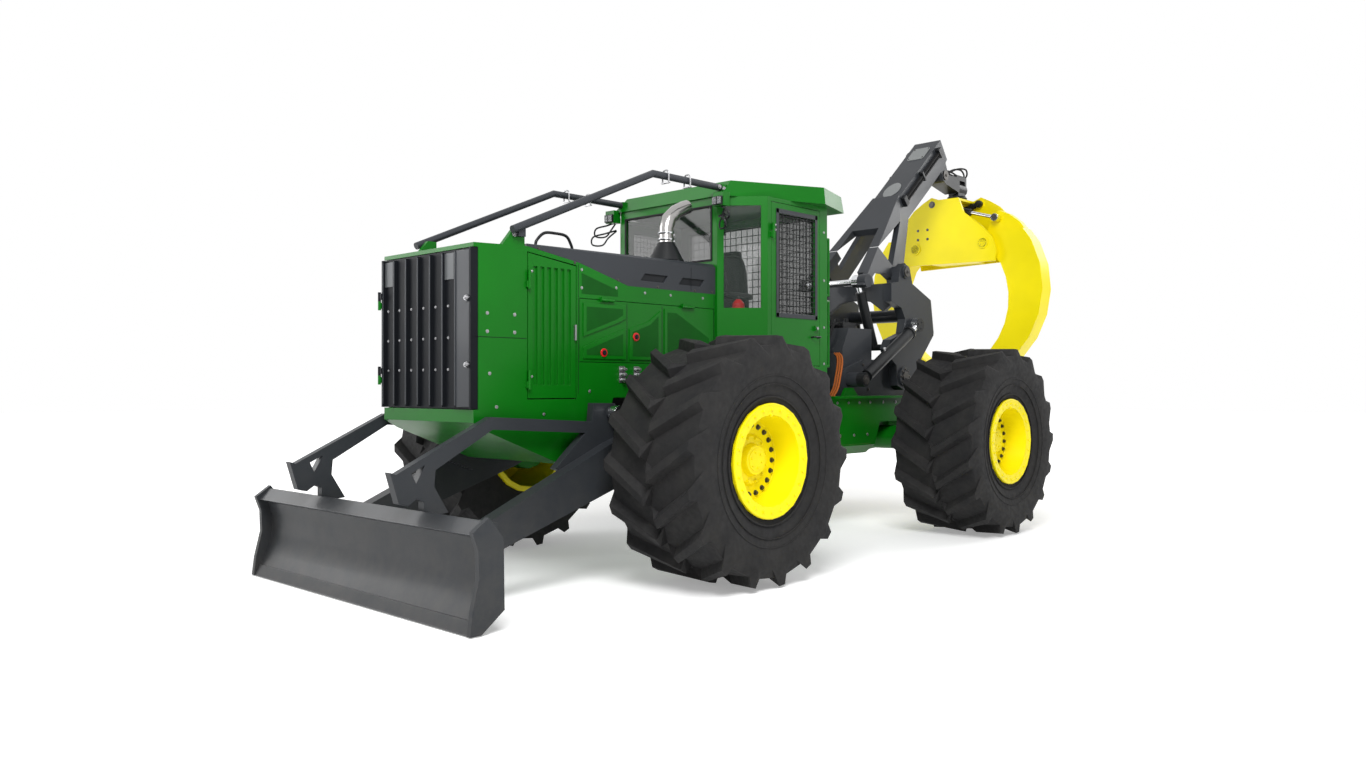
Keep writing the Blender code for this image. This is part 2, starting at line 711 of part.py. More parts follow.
def tyre(centre):
    """A lugged forestry tyre: swept chevron lugs, staggered from side to side."""
    shape = bmesh.new()
    sweep = LUG_SWEEP / TYRE_RADIUS
    base = TYRE_RADIUS - LUG_HEIGHT
    noses, beads = [], []
    for side in (1, -1):
        nose = lug_ring(shape, centre, LUG_NOSE_X, side, 0, TYRE_RADIUS, base)
        edge = lug_ring(shape, centre, TREAD_WIDTH / 2, side, sweep, TYRE_RADIUS - SHOULDER_DROP,
                        base - SHOULDER_DROP)
        bulge = wall_ring(shape, centre, TYRE_WIDTH / 2, side, sweep, BULGE_RADIUS)
        flank = wall_ring(shape, centre, FLANK_X, side, sweep, FLANK_RADIUS)
        bead = wall_ring(shape, centre, BEAD_X, side, sweep, BEAD_RADIUS)
        for index in range(len(nose)):
            following = (index + 1) % len(nose)
            shape.faces.new((nose[index][1], nose[following][1], edge[following][1]))
            shape.faces.new((nose[index][1], edge[following][1], edge[index][1]))
        stitch(shape, edge, bulge)
        stitch(shape, bulge, flank)
        stitch(shape, flank, bead)
        noses.append(nose)
        beads.append(bead)
    stitch(shape, noses[0], noses[1])
    stitch(shape, beads[0], beads[1])
    return mesh_of(shape)


def rim(centre, side):
    """A deep-dished rim: barrel, flanges, inset disc and hub cap."""
    disc_inner = DISC_OUTER_X - DISC_THICKNESS
    inner = RIM_BARREL_RADIUS - RIM_WALL
    seat = RIM_EDGE_X - RIM_FLANGE_WIDTH
    profile = (
        (disc_inner, 0), (disc_inner, inner), (-RIM_EDGE_X, inner), (-RIM_EDGE_X, RIM_RADIUS),
        (-seat, RIM_RADIUS), (-seat, RIM_BARREL_RADIUS), (seat, RIM_BARREL_RADIUS), (seat, RIM_RADIUS),
        (RIM_EDGE_X, RIM_RADIUS), (RIM_EDGE_X - RIM_WALL / 2, RIM_FACE_RADIUS),
        (DISC_OUTER_X, RIM_FACE_RADIUS - 2 * RIM_WALL), (DISC_OUTER_X, HUB_RADIUS),
        (DISC_OUTER_X + RIM_WALL, HUB_RADIUS - RIM_WALL), (DISC_OUTER_X + RIM_WALL, HUB_CAP_RADIUS),
        (DISC_OUTER_X + RIM_WALL + HUB_CAP_X, HUB_CAP_RADIUS - RIM_WALL),
        (DISC_OUTER_X + RIM_WALL + HUB_CAP_X, 0),
    )
    return revolve(profile, FINE_SIDES, centre, side)


def axle(y):
    """A rigid axle: final-drive hubs, tapered tubes, a gear case and the pad it hangs by."""
    hub_end = WHEEL_X + DISC_OUTER_X - DISC_THICKNESS - PIN_GAP
    hub_start = hub_end - AXLE_HUB_LENGTH
    half = (
        (hub_end, 0), (hub_end, AXLE_HUB_RADIUS), (hub_start, AXLE_HUB_RADIUS),
        (hub_start - AXLE_TUBE_RADIUS / 2, AXLE_TUBE_RADIUS), (AXLE_PUMPKIN_HALF, AXLE_TUBE_RADIUS),
        (AXLE_PUMPKIN_HALF / 2, AXLE_PUMPKIN_RADIUS),
    )
    profile = [(-along, radius) for along, radius in half]
    profile += [(along, radius) for along, radius in reversed(half)]
    housing = revolve(profile, ROUND_SIDES, (0, y, AXLE_Z), 1)
    pad = block((-AXLE_PAD_HALF_X, AXLE_PAD_HALF_X), (y - AXLE_PAD_HALF_Y, y + AXLE_PAD_HALF_Y),
                (AXLE_Z, AXLE_PAD_Z))
    return combine(housing, [pad])


def build_wheels(machine):
    """Four wheels on two axles."""
    for end, body, y in (("front", "root", 0), ("rear", "rear_frame", WHEELBASE)):
        machine.add_node(end + "_axle", axle(y), "green_paint", body)
        for name, side in SIDES:
            centre = (side * WHEEL_X, y, AXLE_Z)
            wheel = f"wheel_{end}_{name}"
            machine.add_body(wheel, body, centre)
            machine.add_node(f"tyre_{end}_{name}", tyre(centre), "tyre_rubber", wheel)
            machine.add_node(f"rim_{end}_{name}", rim(centre, side), "yellow_paint", wheel)


# Hood

def hood_points(shares):
    """Places on the hood's side, from shares of its length and height."""
    return from_shares(shares, (HOOD_FRONT_Y, HOOD_BELLY_Z), (HOOD_LENGTH, HOOD_HEIGHT))


def grown(points, gap):
    """A convex outline with every corner moved out from the middle by a gap along each axis."""
    middle_a = sum(a for a, _ in points) / len(points)
    middle_b = sum(b for _, b in points) / len(points)
    return [(a + math.copysign(gap, a - middle_a), b + math.copysign(gap, b - middle_b)) for a, b in points]


def build_hood(machine):
    """The green hood body, open where its doors are, and the grey hood top."""
    outer = plate_x(hood_points(HOOD_SIDE_SHARES), -HOOD_HALF, HOOD_HALF)
    nose_roof_z = GRILLE_HIGH_Z
    inner = hood_points(HOOD_INNER_SHARES)
    inner += [(inner[-1][0], HOOD_TOP_Z + OVERRUN), (NOSE_REAR_Y, HOOD_TOP_Z + OVERRUN)]
    inner += [(NOSE_REAR_Y, nose_roof_z), (inner[0][0], nose_roof_z)]
    half = HOOD_HALF - HOOD_WALL
    side_door = (SIDE_DOOR_FRONT_Y - DOOR_GAP, SIDE_DOOR_REAR_Y + DOOR_GAP)
    side_door_z = (SIDE_DOOR_LOW_Z - DOOR_GAP, SIDE_DOOR_HIGH_Z + DOOR_GAP)
    grille_z = (GRILLE_LOW_Z - DOOR_GAP, GRILLE_HIGH_Z + DOOR_GAP)
    reach = HOOD_HALF + OVERRUN
    cuts = [
        plate_x(inner, -half, half),
        block((-reach, reach), (HOOD_FRONT_Y - OVERRUN, HOOD_FRONT_Y + GRILLE_THICKNESS + DOOR_GAP), grille_z),
        plate_x(grown(hood_points(LOUVRE_SHARES), LOUVRE_GAP), -reach, reach),
        block((-reach, reach), side_door, side_door_z),
    ]
    foot_top = GUARD_FOOT_TOP_Z
    feet = []
    for _, side in SIDES:
        span = side_span((HOOD_HALF - GUARD_FOOT_THICKNESS, HOOD_HALF), side)
        foot = [
            (GUARD_FOOT_Y[0], HOOD_TOP_Z - 3 * HOOD_WALL), (GUARD_FOOT_Y[1], HOOD_TOP_Z - 3 * HOOD_WALL),
            (GUARD_FOOT_Y[1], foot_top), (GUARD_FOOT_Y[1] - 2 * GUARD_FOOT_THICKNESS, foot_top),
        ]
        feet.append(plate_x(foot, span[0], span[1]))
    shell = combine(outer, feet, cuts)
    machine.add_node("hood_body", combine(shell, hood_lugs()), "green_paint")

    top_points = hood_points(HOOD_TOP_SHARES)
    top_points = [(a, b + SEAT_GAP) for a, b in top_points]
    shell = plate_x(top_points, -HOOD_HALF, HOOD_HALF)
    lid_half = HOOD_HALF - HOOD_TOP_WALL
    lid_z = HOOD_TOP_Z - HOOD_TOP_WALL
    cavity = block((-lid_half, lid_half), (NOSE_REAR_Y + HOOD_TOP_WALL, HOOD_REAR_Y - HOOD_TOP_WALL),
                   (HOOD_BELLY_Z, lid_z))
    top_cuts = [cavity]
    for _, side in SIDES:
        edge = side * (HOOD_HALF + OVERRUN)
        inset = side * (HOOD_HALF - HOOD_TOP_CHAMFER)
        chamfer = [(edge, HOOD_TOP_Z + OVERRUN), (inset, HOOD_TOP_Z + OVERRUN),
                   (edge, HOOD_TOP_Z - HOOD_TOP_CHAMFER)]
        top_cuts.append(plate_y(chamfer, NOSE_REAR_Y - OVERRUN, HOOD_REAR_Y + OVERRUN))
        vent_x = side_span((HOOD_HALF - VENT_DEPTH, HOOD_HALF + OVERRUN), side)
        for low_y, high_y in VENT_SPANS_Y:
            vent = [(low_y, VENT_LOW_Z), (high_y - VENT_LEAN, VENT_LOW_Z), (high_y, VENT_HIGH_Z),
                    (low_y + VENT_LEAN, VENT_HIGH_Z)]
            top_cuts.append(plate_x(vent, vent_x[0], vent_x[1]))
    pad_top = HOOD_TOP_Z + SEAT_GAP
    pad = rod((STACK_X, STACK_Y, HOOD_TOP_Z - HOOD_TOP_WALL / 2), (STACK_X, STACK_Y, pad_top),
              STACK_CONE_RADIUS + OVERRUN, FINE_SIDES)
    machine.add_node("hood_top", combine(combine(shell, [], top_cuts), [pad]), "grey_paint")


def hood_lugs():
    """The hood's own hinge knuckles, one beside each knuckle of its doors, with the straps they sit on."""
    lugs = []
    strap_half = KNUCKLE_LENGTH / 3
    step = KNUCKLE_LENGTH + SEAT_GAP
    grille_x, grille_y = -HOOD_HALF - GRILLE_AXIS_OUT_X, HOOD_FRONT_Y - GRILLE_AXIS_OUT_Y
    grille_back = HOOD_FRONT_Y + GRILLE_THICKNESS + DOOR_GAP
    for z in grille_hinge_z():
        z -= step
        span_z = (z - strap_half, z + strap_half)
        lugs.append(knuckle((grille_x, grille_y, z), (0, 0, 1)))
        lugs.append(block((grille_x - KNUCKLE_RADIUS, -HOOD_HALF - SEAT_GAP), (grille_y, grille_back + 2 * OVERRUN), span_z))
        lugs.append(block((grille_x - KNUCKLE_RADIUS, HOOD_WALL / 2 - HOOD_HALF),
                          (grille_back + DOOR_GAP, grille_back + 2 * OVERRUN), span_z))
    louvre_y = hood_points(LOUVRE_SHARES)[0][0]
    for _, side in SIDES:
        axis_x = side * (HOOD_HALF + DOOR_AXIS_OUT)
        strap_x = side_span((HOOD_HALF - HOOD_WALL / 2, HOOD_HALF + DOOR_AXIS_OUT), side)
        for z in louvre_hinge_z():
            z -= step
            lugs.append(knuckle((axis_x, louvre_y, z), (0, 0, 1)))
            lugs.append(block(strap_x, (louvre_y - 2 * KNUCKLE_RADIUS, louvre_y - SEAT_GAP),
                              (z - strap_half, z + strap_half)))
        for y in side_hinge_y():
            y -= step
            lugs.append(knuckle((axis_x, y, SIDE_DOOR_HIGH_Z), (0, 1, 0)))
            lugs.append(block(strap_x, (y - strap_half, y + strap_half),
                              (SIDE_DOOR_HIGH_Z + SEAT_GAP, SIDE_DOOR_HIGH_Z + 2 * KNUCKLE_RADIUS)))
    return lugs


def grille_hinge_z():
    """Heights of the grille door's knuckles."""
    return (GRILLE_LOW_Z + 4 * KNUCKLE_LENGTH, GRILLE_HIGH_Z - 4 * KNUCKLE_LENGTH)


def louvre_hinge_z():
    """Heights of the slotted doors' knuckles."""
    return (LOUVRE_GROOVE_LOW_Z + KNUCKLE_LENGTH, LOUVRE_GROOVE_HIGH_Z - KNUCKLE_LENGTH)


def side_hinge_y():
    """Places of the engine side doors' knuckles along the hood."""
    length = SIDE_DOOR_REAR_Y - SIDE_DOOR_FRONT_Y
    return tuple(SIDE_DOOR_FRONT_Y + share * length for share in SIDE_HINGE_SHARES)


def knuckle(place, axis):
    """One hinge knuckle on a joint's axis."""
    return eye(place, axis, KNUCKLE_LENGTH / 2, KNUCKLE_RADIUS)


def build_grille_door(machine):
    """The front grille: a plate behind upright ribs, hinged at the machine's right edge."""
    half = HOOD_HALF - SEAT_GAP
    back_y = HOOD_FRONT_Y + GRILLE_THICKNESS
    front_y = HOOD_FRONT_Y - GRILLE_RIB_DEPTH
    axis_x = -HOOD_HALF - GRILLE_AXIS_OUT_X
    axis_y = HOOD_FRONT_Y - GRILLE_AXIS_OUT_Y
    machine.add_body("grille_door", "root", (axis_x, axis_y, GRILLE_LOW_Z))
    sheet = block((-half, half), (HOOD_FRONT_Y, back_y), (GRILLE_LOW_Z, GRILLE_HIGH_Z))
    bars = []
    for x in GRILLE_RIB_X:
        bars.append(block((x - GRILLE_RIB_WIDTH / 2, x + GRILLE_RIB_WIDTH / 2), (front_y, back_y - GRILLE_RAIL / 2),
                          (GRILLE_LOW_Z + GRILLE_RAIL / 2, GRILLE_HIGH_Z - GRILLE_RAIL / 2)))
    for low, high in ((-half, GRILLE_RAIL - half), (half - GRILLE_RAIL, half)):
        bars.append(block((low, high), (front_y, back_y), (GRILLE_LOW_Z, GRILLE_HIGH_Z)))
    for z in grille_hinge_z():
        bars.append(knuckle((axis_x, axis_y, z), (0, 0, 1)))
        bars.append(block((axis_x, GRILLE_RAIL - half), (axis_y - KNUCKLE_RADIUS / 2, HOOD_FRONT_Y),
                          (z - KNUCKLE_LENGTH / 3, z + KNUCKLE_LENGTH / 3)))
    machine.add_node("grille_door", combine(sheet, bars), "black_metal", "grille_door")


def build_louvre_doors(machine):
    """The upright-slotted doors behind the nose, hinged at their front edge."""
    points = hood_points(LOUVRE_SHARES)
    front_y, rear_y = points[0][0], points[1][0]
    for name, side in SIDES:
        axis_x = side * (HOOD_HALF + DOOR_AXIS_OUT)
        body = "louvre_door_" + name
        machine.add_body(body, "root", (axis_x, front_y, points[0][1]))
        span = side_span((HOOD_HALF - HOOD_WALL, HOOD_HALF), side)
        door = plate_x(points, span[0], span[1])
        groove_x = side_span((HOOD_HALF - LOUVRE_GROOVE_DEPTH, HOOD_HALF + OVERRUN), side)
        pitch = (rear_y - front_y - 2 * LOUVRE_MARGIN_Y) / LOUVRE_GROOVES
        grooves = []
        for index in range(LOUVRE_GROOVES):
            middle = front_y + LOUVRE_MARGIN_Y + pitch * (index + 0.5)
            grooves.append(block(groove_x, (middle - LOUVRE_GROOVE_WIDTH / 2, middle + LOUVRE_GROOVE_WIDTH / 2),
                                 (LOUVRE_GROOVE_LOW_Z, LOUVRE_GROOVE_HIGH_Z)))
        hinges = []
        for z in louvre_hinge_z():
            hinges.append(knuckle((axis_x, front_y, z), (0, 0, 1)))
            hinges.append(block(side_span((HOOD_HALF - HOOD_WALL / 2, HOOD_HALF + DOOR_AXIS_OUT), side),
                                (front_y, front_y + KNUCKLE_RADIUS), (z - KNUCKLE_LENGTH / 3, z + KNUCKLE_LENGTH / 3)))
        machine.add_node(body, combine(door, hinges, grooves), "green_paint", body)


def build_side_doors(machine):
    """The engine's side doors, hinged along their top edge, with raised panels."""
    length = SIDE_DOOR_REAR_Y - SIDE_DOOR_FRONT_Y
    height = SIDE_DOOR_HIGH_Z - SIDE_DOOR_LOW_Z
    for name, side in SIDES:
        axis_x = side * (HOOD_HALF + DOOR_AXIS_OUT)
        axis_z = SIDE_DOOR_HIGH_Z
        body = "engine_door_" + name
        machine.add_body(body, "root", (axis_x, SIDE_DOOR_FRONT_Y, axis_z))
        door = block(side_span((HOOD_HALF - HOOD_WALL, HOOD_HALF), side), (SIDE_DOOR_FRONT_Y, SIDE_DOOR_REAR_Y),
                     (SIDE_DOOR_LOW_Z, SIDE_DOOR_HIGH_Z))
        raised = side_span((HOOD_HALF - HOOD_WALL / 2, HOOD_HALF + SIDE_PANEL_DEPTH), side)
        extras = []
        for shares in SIDE_PANEL_SHARES:
            outline = from_shares(shares, (SIDE_DOOR_FRONT_Y, SIDE_DOOR_LOW_Z), (length, height))
            extras.append(plate_x(outline, raised[0], raised[1]))
        for y in side_hinge_y():
            extras.append(knuckle((axis_x, y, axis_z), (0, 1, 0)))
            extras.append(block(side_span((HOOD_HALF - HOOD_WALL / 2, HOOD_HALF + DOOR_AXIS_OUT), side),
                                (y - KNUCKLE_LENGTH / 3, y + KNUCKLE_LENGTH / 3), (axis_z - KNUCKLE_RADIUS, axis_z)))
        machine.add_node(body, combine(door, extras), "green_paint", body)


# Front frame and blade

def build_front_frame(machine):
    """The chassis under the hood and cab, its pivot fork, side tanks and steps."""
    base = plate_x(from_shares(FRONT_FRAME_SHARES, (0, AXLE_Z), HALF_BASE), -FRAME_HALF, FRAME_HALF)
    adds = []
    for low, high in (FORK_LOW_Z, FORK_HIGH_Z):
        adds.append(block((-FORK_HALF, FORK_HALF), (FORK_ROOT_Y, HALF_BASE), (low, high)))
        adds.append(rod((0, HALF_BASE, low), (0, HALF_BASE, high), FORK_HALF, FINE_SIDES))
    rear_y = from_shares(FRONT_FRAME_SHARES, (0, AXLE_Z), HALF_BASE)[5][0]
    adds.append(block((-FORK_HALF, FORK_HALF), (FORK_ROOT_Y, rear_y), (FORK_LOW_Z[0], FORK_HIGH_Z[1])))
    adds.append(rod((0, HALF_BASE, FORK_LOW_Z[0]), (0, HALF_BASE, TONGUE_LOW_Z[1] + OVERRUN), PIVOT_PIN_RADIUS,
                    FINE_SIDES))
    adds.append(rod((0, HALF_BASE, TONGUE_HIGH_Z[0] - OVERRUN), (0, HALF_BASE, FORK_HIGH_Z[1]), PIVOT_PIN_RADIUS,
                    FINE_SIDES))
    frame_top = from_shares(FRONT_FRAME_SHARES, (0, AXLE_Z), HALF_BASE)[6][1]
    for _, side in SIDES:
        adds.append(chamfered_block(side_span(TANK_X, side), TANK_Y, TANK_Z, TANK_CHAMFER))
        adds.append(block(side_span((FRAME_HALF - OVERRUN, TANK_X[0] + OVERRUN), side), TANK_ARM_Y, TANK_ARM_Z))
        adds.append(block(side_span(STEP_X, side), STEP_Y, STEP_Z))
        for y in STEP_Y:
            hanger_y = (y, y + STEP_HANGER) if y == STEP_Y[0] else (y - STEP_HANGER, y)
            adds.append(block(side_span(STEP_X, side), hanger_y, (STEP_Z[0], TANK_Z[0] + 2 * OVERRUN)))
        for y in CAB_POST_Y:
            adds.append(block(side_span((CAB_POST_X - CAB_POST_HALF, CAB_POST_X + CAB_POST_HALF), side),
                              (y - CAB_POST_HALF, y + CAB_POST_HALF), (frame_top - OVERRUN, CAB_LOW_Z - SEAT_GAP)))
        post_x = side * STEER_BASE_X
        adds.append(block(side_span((FRAME_HALF - OVERRUN, STEER_BASE_X + STEER_EYE_RADIUS), side),
                          (STEER_BASE_Y - STEER_EYE_RADIUS, STEER_BASE_Y + STEER_EYE_RADIUS),
                          (frame_top - 2 * OVERRUN, frame_top)))
        adds.append(rod((post_x, STEER_BASE_Y, frame_top - OVERRUN), (post_x, STEER_BASE_Y, STEER_Z[0] - PIN_GAP),
                        STEER_EYE_RADIUS))
        pin_x = side * (PUSH_ARM_X[0] - PIN_GAP)
        adds.append(block(side_span((FRAME_HALF - 2 * OVERRUN, FRAME_HALF + OVERRUN), side), BLADE_HANGER_Y,
                          BLADE_HANGER_Z))
        adds.append(rod((side * (FRAME_HALF - OVERRUN), BLADE_PIVOT_Y, BLADE_PIVOT_Z),
                        (pin_x, BLADE_PIVOT_Y, BLADE_PIVOT_Z), BLADE_PIN_RADIUS))
        lift_x = side * (LIFT_X - EYE_WIDTH / 2 - PIN_GAP)
        adds.append(rod((side * (FRAME_HALF - OVERRUN), LIFT_BASE_Y, LIFT_BASE_Z), (lift_x, LIFT_BASE_Y, LIFT_BASE_Z),
                        LIFT_BARREL_RADIUS))
    machine.add_node("front_frame", combine(base, adds), "green_paint")
    machine.add_node("engine_block", chamfered_block((-ENGINE_HALF, ENGINE_HALF), ENGINE_Y, ENGINE_Z, ENGINE_HALF / 5),
                     "black_metal")


def build_blade(machine):
    """The dozer blade and the frame of forks and push arms that carries it."""
    machine.add_body("blade", "root", (0, BLADE_PIVOT_Y, BLADE_PIVOT_Z))
    origin = (BLADE_FRONT_Y, BLADE_CLEARANCE_Z)
    inner = BLADE_HALF - BLADE_PLATE
    board = plate_x(from_shares(MOULDBOARD_SHARES, origin, BLADE_HEIGHT), -inner - BLADE_PLATE / 2,
                    inner + BLADE_PLATE / 2)
    ends = []
    for _, side in SIDES:
        span = side_span((inner, BLADE_HALF), side)
        ends.append(plate_x(from_shares(END_PLATE_SHARES, origin, BLADE_HEIGHT), span[0], span[1]))
    machine.add_node("blade_mouldboard", combine(board, ends), "grey_paint", "blade")

    pivot = (BLADE_PIVOT_Y, BLADE_PIVOT_Z)
    cross = rod((-PUSH_ARM_X[0] - OVERRUN, CROSS_TUBE_Y, CROSS_TUBE_Z), (PUSH_ARM_X[0] + OVERRUN, CROSS_TUBE_Y, CROSS_TUBE_Z),
                CROSS_TUBE_RADIUS)
    adds, cuts = [], []
    for _, side in SIDES:
        fork_x = side_span(FORK_PLATE_X, side)
        arm_x = side_span(PUSH_ARM_X, side)
        adds.append(plate_x(from_shares(FORK_PLATE_SHARES, pivot, ARM_LENGTH), fork_x[0], fork_x[1]))
        adds.append(plate_x(from_shares(PUSH_ARM_SHARES, pivot, ARM_LENGTH), arm_x[0], arm_x[1]))
        adds.append(rod((side * FORK_PLATE_X[0], LIFT_EYE_Y, LIFT_EYE_Z),
                        (side * (LIFT_X - EYE_WIDTH / 2 - PIN_GAP), LIFT_EYE_Y, LIFT_EYE_Z), LIFT_BARREL_RADIUS))
        hole_x = side_span((FORK_PLATE_X[0] - OVERRUN, FORK_PLATE_X[1] + OVERRUN), side)
        cuts.append(plate_x(from_shares(FORK_HOLE_SHARES, pivot, ARM_LENGTH), hole_x[0], hole_x[1]))
    seat_origin = (BLADE_FRONT_Y + SEAT_GAP, BLADE_CLEARANCE_Z + SEAT_GAP)
    cuts.append(plate_x(from_shares(MOULDBOARD_SHARES, seat_origin, BLADE_HEIGHT), -inner, inner))
    machine.add_node("blade_arms", combine(cross, adds, cuts), "grey_paint", "blade")


def cylinder_pair(machine, name, base, head, axis, parent, radii, shares):
    """A hydraulic cylinder: its barrel turns on its parent at base, and its rod ends in an eye at head."""
    barrel_radius, rod_radius, eye_radius, half_width = radii
    start_share, mouth_share = shares
    base, head = Vector(base), Vector(head)
    direction = (head - base).normalized()
    length = (head - base).length
    mouth = base + direction * length * mouth_share
    cap_start = mouth - direction * barrel_radius / 2
    machine.add_body(name + "_barrel", parent, base)
    machine.add_body(name + "_rod", name + "_barrel", head)
    bottom = base + direction * (eye_radius + barrel_radius + 2 * OVERRUN)
    bore = rod(bottom, mouth + direction * OVERRUN, rod_radius + SEAT_GAP)
    foot = base + direction * (eye_radius + OVERRUN / 2)
    tube_solid = rod(foot, mouth, barrel_radius)
    neck = rod(base + direction * eye_radius / 2, foot + direction * OVERRUN, half_width - PIN_GAP)
    collar = rod(cap_start, mouth, barrel_radius + rod_radius / 4)
    barrel = combine(tube_solid, [neck, eye(base, axis, half_width, eye_radius), collar], [bore])
    machine.add_node(name + "_barrel", barrel, "black_metal", name + "_barrel")
    shaft = rod(base + direction * length * start_share, head - direction * eye_radius / 2, rod_radius)
    rod_solid = combine(shaft, [eye(head, axis, half_width, eye_radius)])
    machine.add_node(name + "_rod", rod_solid, "chrome_rod", name + "_rod")


def build_lift_cylinders(machine):
    """The cylinders that raise the blade, one beside each push arm."""
    radii = (LIFT_BARREL_RADIUS, LIFT_ROD_RADIUS, LIFT_BARREL_RADIUS + OVERRUN / 2, EYE_WIDTH / 2)
    for name, side in SIDES:
        cylinder_pair(machine, "lift_cylinder_" + name, (side * LIFT_X, LIFT_BASE_Y, LIFT_BASE_Z),
                      (side * LIFT_X, LIFT_EYE_Y, LIFT_EYE_Z), (1, 0, 0), "root", radii, LIFT_SHARES)


# Cab

def cab_points(shares):
    """Places on the cab's plan, from shares of its half width and length, mirrored to both sides."""
    right = [(a * CAB_HALF, CAB_FRONT_Y + b * CAB_LENGTH) for a, b in shares]
    return right + [(-x, y) for x, y in reversed(right)]


def inset_plan(points, wall):
    """A cab plan moved in by a wall."""
    middle = CAB_FRONT_Y + CAB_LENGTH / 2
    return [(x - math.copysign(wall, x), y - math.copysign(wall, y - middle)) for x, y in points]


def build_cab(machine):
    """The hollow cab: pillars, sills, windows, door openings and grab rails."""
    plan = cab_points(CAB_PLAN_SHARES)
    shell = plate_z(plan, CAB_LOW_Z, CAB_HIGH_Z)
    room = plate_z(inset_plan(plan, CAB_WALL), CAB_LOW_Z + CAB_FLOOR, CAB_HIGH_Z + OVERRUN)
    rear_y = CAB_FRONT_Y + CAB_LENGTH
    wide = CAB_HALF + OVERRUN
    cuts = [
        room,
        block((-FRONT_WINDOW_HALF, FRONT_WINDOW_HALF), (CAB_FRONT_Y - OVERRUN, CAB_FRONT_Y + CAB_WALL + OVERRUN),
              (FRONT_WINDOW_LOW_Z, WINDOW_HIGH_Z)),
        block((-REAR_WINDOW_HALF, REAR_WINDOW_HALF), (rear_y - CAB_WALL - OVERRUN, rear_y + OVERRUN),
              (WINDOW_LOW_Z, WINDOW_HIGH_Z)),
        block((-wide, wide), (CAB_DOOR_Y[0] - DOOR_GAP, CAB_DOOR_Y[1] + DOOR_GAP),
              (CAB_DOOR_Z[0] - DOOR_GAP, CAB_DOOR_Z[1] + DOOR_GAP)),
    ]
    adds = []
    (corner_x, corner_y), (pillar_x, pillar_y) = plan[0], plan[1]
    run = Vector((pillar_x - corner_x, pillar_y - corner_y))
    outward = Vector((run.y, -run.x)).normalized()
    for _, side in SIDES:
        window = []
        for share in CORNER_WINDOW_SHARES:
            spot = Vector((corner_x, corner_y)) + run * share
            for reach in (OVERRUN, -CAB_WALL - OVERRUN):
                corner = spot + outward * reach
                window.append((side * corner.x, corner.y, WINDOW_LOW_Z))
                window.append((side * corner.x, corner.y, WINDOW_HIGH_Z))
        cuts.append(hull(window))
        rail_x = side * (CAB_HALF - RAIL_OUT_Y / 2)
        for low, high in RAIL_SPANS_Z:
            route = [(rail_x, rear_y - CAB_WALL / 2, low), (rail_x, rear_y + RAIL_OUT_Y, low),
                     (rail_x, rear_y + RAIL_OUT_Y, high), (rail_x, rear_y - CAB_WALL / 2, high)]
            adds.append(tube(route, RAIL_RADIUS, RAIL_SIDES))
        lug_x = side_span((CAB_HALF - CAB_WALL / 2, CAB_HALF + CAB_DOOR_AXIS_OUT), side)
        for hinge_z in CAB_HINGE_Z:
            z = hinge_z - KNUCKLE_LENGTH - SEAT_GAP
            adds.append(knuckle((side * (CAB_HALF + CAB_DOOR_AXIS_OUT), CAB_DOOR_Y[0], z), (0, 0, 1)))
            adds.append(block(lug_x, (CAB_DOOR_Y[0] - 2 * KNUCKLE_RADIUS, CAB_DOOR_Y[0] - SEAT_GAP),
                              (z - KNUCKLE_LENGTH / 3, z + KNUCKLE_LENGTH / 3)))
    machine.add_node("cab_shell", combine(combine(shell, [], cuts), adds), "green_paint")

    high = [(x, y, ROOF_HIGH_Z) for x, y in cab_points(ROOF_HIGH_SHARES)]
    low = [(x, y, ROOF_LOW_Z) for x, y in cab_points(ROOF_LOW_SHARES)]
    lamps = []
    for _, side in SIDES:
        lamp = block(side_span(LAMP_X, side), (LAMP_FRONT_Y, LAMP_FRONT_Y + LAMP_DEPTH_Y),
                     (ROOF_LOW_Z - LAMP_SIZE_Z, ROOF_LOW_Z + OVERRUN))
        lamps.append(lamp)
        end_y, end_z = GUARD_ROUTE_YZ[-1]
        lamps.append(block(side_span((GUARD_X - GUARD_RADIUS, GUARD_X + GUARD_RADIUS), side),
                           (end_y + SEAT_GAP, end_y + GUARD_SOCKET_DEPTH),
                           (end_z - GUARD_RADIUS, end_z + GUARD_RADIUS)))
    machine.add_node("cab_roof", combine(hull(high + low), lamps), "green_paint")


